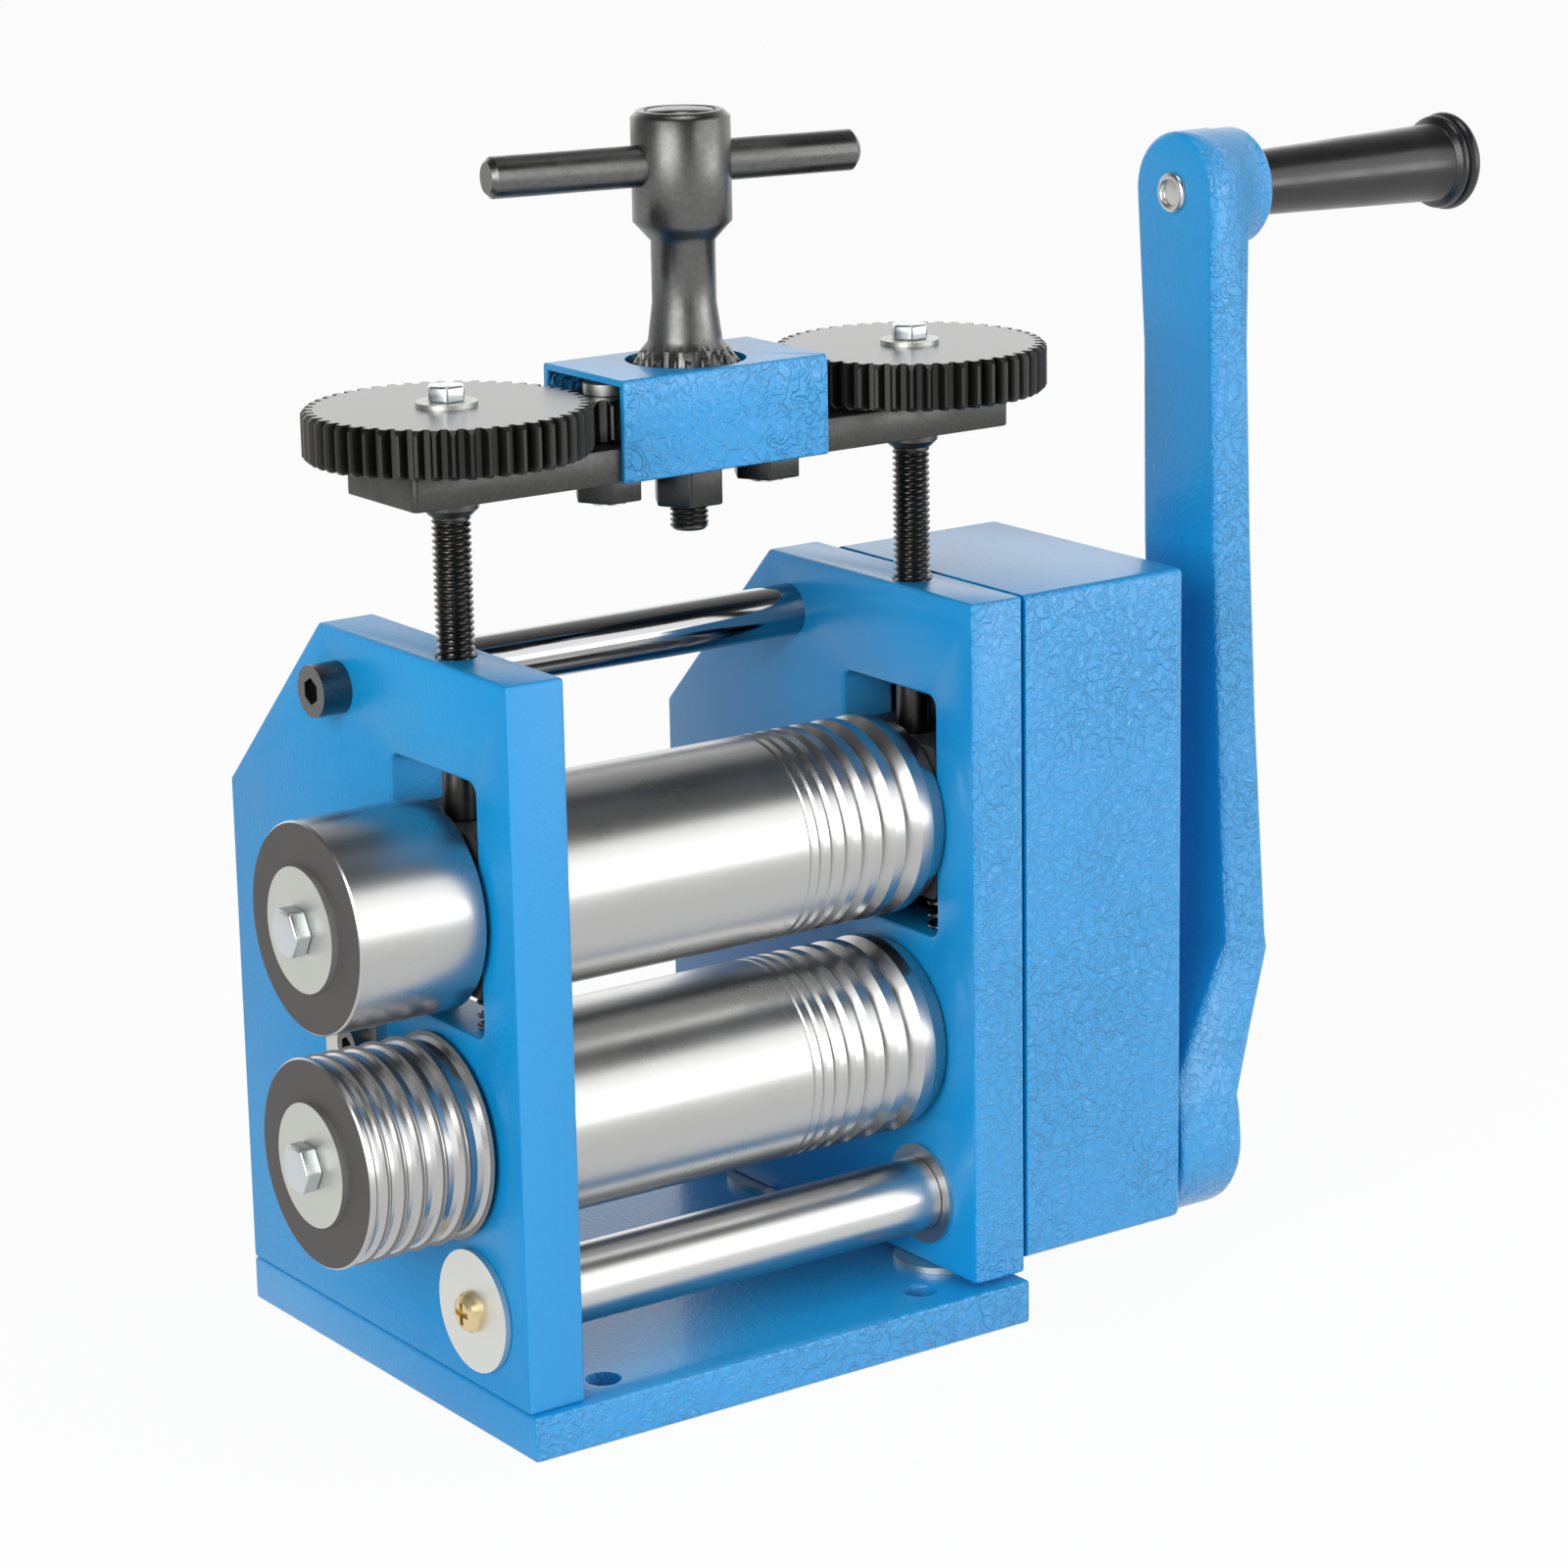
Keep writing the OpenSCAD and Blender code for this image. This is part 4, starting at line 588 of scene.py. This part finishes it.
profile += arc(0.01048, grip_len - 0.0019, 0.0019, -40, 91, 13)
profile += [(0.0088, grip_len), (0.0070, grip_len - 0.0004), (0.0069, grip_len - 0.0050)]
v, f = turned(plain(profile, 64), along_x)
piece("grip_body", v, f, GRIP, "grip_set", ("hand_grip",))


# ---- materials of the CAD nodes that stay ----

LOOKS = {
    "upper_roll": ROLL, "lower_roll": ROLL, "upper_outer_roll": ROLL, "lower_outer_roll": ROLL,
    "crank_shaft": SHAFT, "crank_bushes": SHAFT, "tie_rod": TIE,
    "lower_roll_keys": SHAFT, "upper_roll_keys": SHAFT, "crank_keys": SHAFT,
    "upper_roll_washer": ZINC, "lower_roll_washer": ZINC,
    "left_gear_washer": ZINC, "right_gear_washer": ZINC,
    "shim_washers": ZINC, "keeper_plate": ZINC, "crank_bolt": ZINC, "idler_bolts": ZINC,
    "gearbox_posts": ZINC, "head_cover_screws": ZINC,
    "shaft_end_washer": BRIGHT_ZINC, "shaft_end_screw": YELLOW,
    "lower_bearing_bushes": BRONZE, "upper_bearing_bushes": BRONZE,
    "left_bearing_block": BLOCK, "right_bearing_block": BLOCK,
    "left_screw_gear": gear_face("left_gear_face", -SCREW_X),
    "right_screw_gear": gear_face("right_gear_face", SCREW_X),
    "drive_gear": GEAR, "drive_pinion": GEAR, "lower_roll_gear": GEAR, "upper_roll_gear": GEAR,
}
for name, o in NODES.items():
    o.data.materials.clear()
    o.data.materials.append(LOOKS.get(name, OXIDE))
    smooth(o.data, NODE_ANGLE)


# ---- stage ----

FLOOR_HALF, FLOOR_Z = 6, -0.0004        # a hair below the base, so that the two don't flicker
FLOOR_GLOW = 0.95                       # the floor's own white, for the camera and in reflections
floor_mesh = bpy.data.meshes.new("floor")
floor_sides = ((-1, -1), (1, -1), (1, 1), (-1, 1))
floor_corners = [(x * FLOOR_HALF, y * FLOOR_HALF, 0) for x, y in floor_sides]
floor_mesh.from_pydata(floor_corners, [], [(0, 1, 2, 3)])
floor = bpy.data.objects.new("floor", floor_mesh)
floor.location.z = FLOOR_Z
bpy.context.scene.collection.objects.link(floor)
floor_mat, ft, fb = material("floor_white", (0.76, 0.76, 0.76), 0.0, 0.8)
fb.inputs["Specular IOR Level"].default_value = 0.1
floor_color = mix_color(ft, noise(ft, coords(ft), 4.0), (0.75, 0.75, 0.75), (0.77, 0.77, 0.77))
ft.links.new(floor_color, fb.inputs["Base Color"])
floor_glow = node(ft, "ShaderNodeEmission", {"Color": (1, 1, 1, 1), "Strength": 1.0})
floor_path = node(ft, "ShaderNodeLightPath")
floor_mix = node(ft, "ShaderNodeMixShader")
floor_seen = math_node(ft, "MAXIMUM", floor_path.outputs["Is Camera Ray"],
                       floor_path.outputs["Is Glossy Ray"])
ft.links.new(math_node(ft, "MULTIPLY", floor_seen, FLOOR_GLOW), floor_mix.inputs["Fac"])
ft.links.new(fb.outputs[0], floor_mix.inputs[1])
ft.links.new(floor_glow.outputs[0], floor_mix.inputs[2])
ft.links.new(floor_mix.outputs[0], ft.nodes["Material Output"].inputs["Surface"])
floor_mesh.materials.append(floor_mat)

# Studio light by height, from straight below to straight above, and a plain white for the camera
SKY = [(0.0, 0.3), (0.49, 0.5), (0.53, 1.0), (0.69, 1.0), (0.80, 0.32), (0.90, 0.22), (1.0, 0.22)]
BACKDROP = (0.967, 0.967, 0.967, 1)
BRIGHT_SIDE = (0.62, 0.78, 0.0)         # it is brighter behind, to the right of the mill
world = bpy.data.worlds.new("studio")
bpy.context.scene.world = world
world.use_nodes = True
wt = world.node_tree
wt.nodes.clear()
out = node(wt, "ShaderNodeOutputWorld")
seen = node(wt, "ShaderNodeBackground", {"Color": BACKDROP, "Strength": 1.0})
lit = node(wt, "ShaderNodeBackground", {"Strength": 1.0})
direction = node(wt, "ShaderNodeTexCoord").outputs["Generated"]
split = node(wt, "ShaderNodeSeparateXYZ")
wt.links.new(direction, split.inputs[0])
ramp = node(wt, "ShaderNodeValToRGB")
while len(ramp.color_ramp.elements) < len(SKY):
    ramp.color_ramp.elements.new(0.5)
for e, (position, value) in zip(ramp.color_ramp.elements, SKY):
    e.position = position
    e.color = (value, value, value, 1)
height = math_node(wt, "ADD", math_node(wt, "MULTIPLY", split.outputs[2], 0.5), 0.5)
wt.links.new(height, ramp.inputs["Fac"])
toward = node(wt, "ShaderNodeVectorMath", operation="DOT_PRODUCT")
toward.inputs[1].default_value = BRIGHT_SIDE
wt.links.new(direction, toward.inputs[0])
side_light = remap(wt, toward.outputs["Value"], 0.1, 0.85, 0.38, 2.0)
wt.links.new(math_node(wt, "MULTIPLY", ramp.outputs["Color"], side_light), lit.inputs["Strength"])
path = node(wt, "ShaderNodeLightPath")
mix = node(wt, "ShaderNodeMixShader")
wt.links.new(path.outputs["Is Camera Ray"], mix.inputs["Fac"])
wt.links.new(lit.outputs[0], mix.inputs[1])
wt.links.new(seen.outputs[0], mix.inputs[2])
wt.links.new(mix.outputs[0], out.inputs["Surface"])

CENTRE = (0.0, 0.0, 0.13)


def area(name, place, size, power):
    """A soft rectangular lamp that looks at the mill's centre."""
    light = bpy.data.lights.new(name, "AREA")
    light.shape = "RECTANGLE"
    light.size, light.size_y = size
    light.energy = power
    o = bpy.data.objects.new(name, light)
    o.location = place
    o.rotation_euler = (Vector(CENTRE) - Vector(place)).to_track_quat("-Z", "Y").to_euler()
    o.visible_camera = False
    bpy.context.scene.collection.objects.link(o)


area("key", (-1.7, -0.9, 0.75), (1.4, 1.2), 33)
area("front", (1.3, -1.9, 0.78), (3.0, 2.0), 34)
area("strip", (1.45, -1.75, 0.33), (1.1, 0.6), 6)
area("top", (0.0, -0.2, 2.0), (0.8, 0.8), 7)


# ---- camera, from the lines of the photo ----

YAW, PITCH, TILT = math.radians(35.06), math.radians(14.95), math.radians(-0.99)
FOCAL, CX, CY, PIXELS = 4670.78, 810.92, 803.13, 1600   # in pixels of the photo
CAMERA_PLACE = (-0.5780, -0.8947, 0.4177)
SENSOR = 36
fwd = Vector((math.sin(YAW) * math.cos(PITCH), math.cos(YAW) * math.cos(PITCH), -math.sin(PITCH)))
right = Vector((math.cos(YAW), -math.sin(YAW), 0))
up = right.cross(fwd)
tilted_right = right * math.cos(TILT) + up * math.sin(TILT)
tilted_up = up * math.cos(TILT) - right * math.sin(TILT)
cam = bpy.data.cameras.new("camera")
cam.sensor_width = SENSOR
cam.lens = FOCAL / PIXELS * SENSOR
cam.shift_x = -(CX - PIXELS / 2) / PIXELS
cam.shift_y = (CY - PIXELS / 2) / PIXELS
cam_o = bpy.data.objects.new("camera", cam)
turn = Matrix((tilted_right, tilted_up, -fwd)).transposed().to_4x4()
cam_o.matrix_world = Matrix.Translation(CAMERA_PLACE) @ turn
bpy.context.scene.collection.objects.link(cam_o)
bpy.context.scene.camera = cam_o
bpy.context.scene.view_settings.view_transform = "Standard"
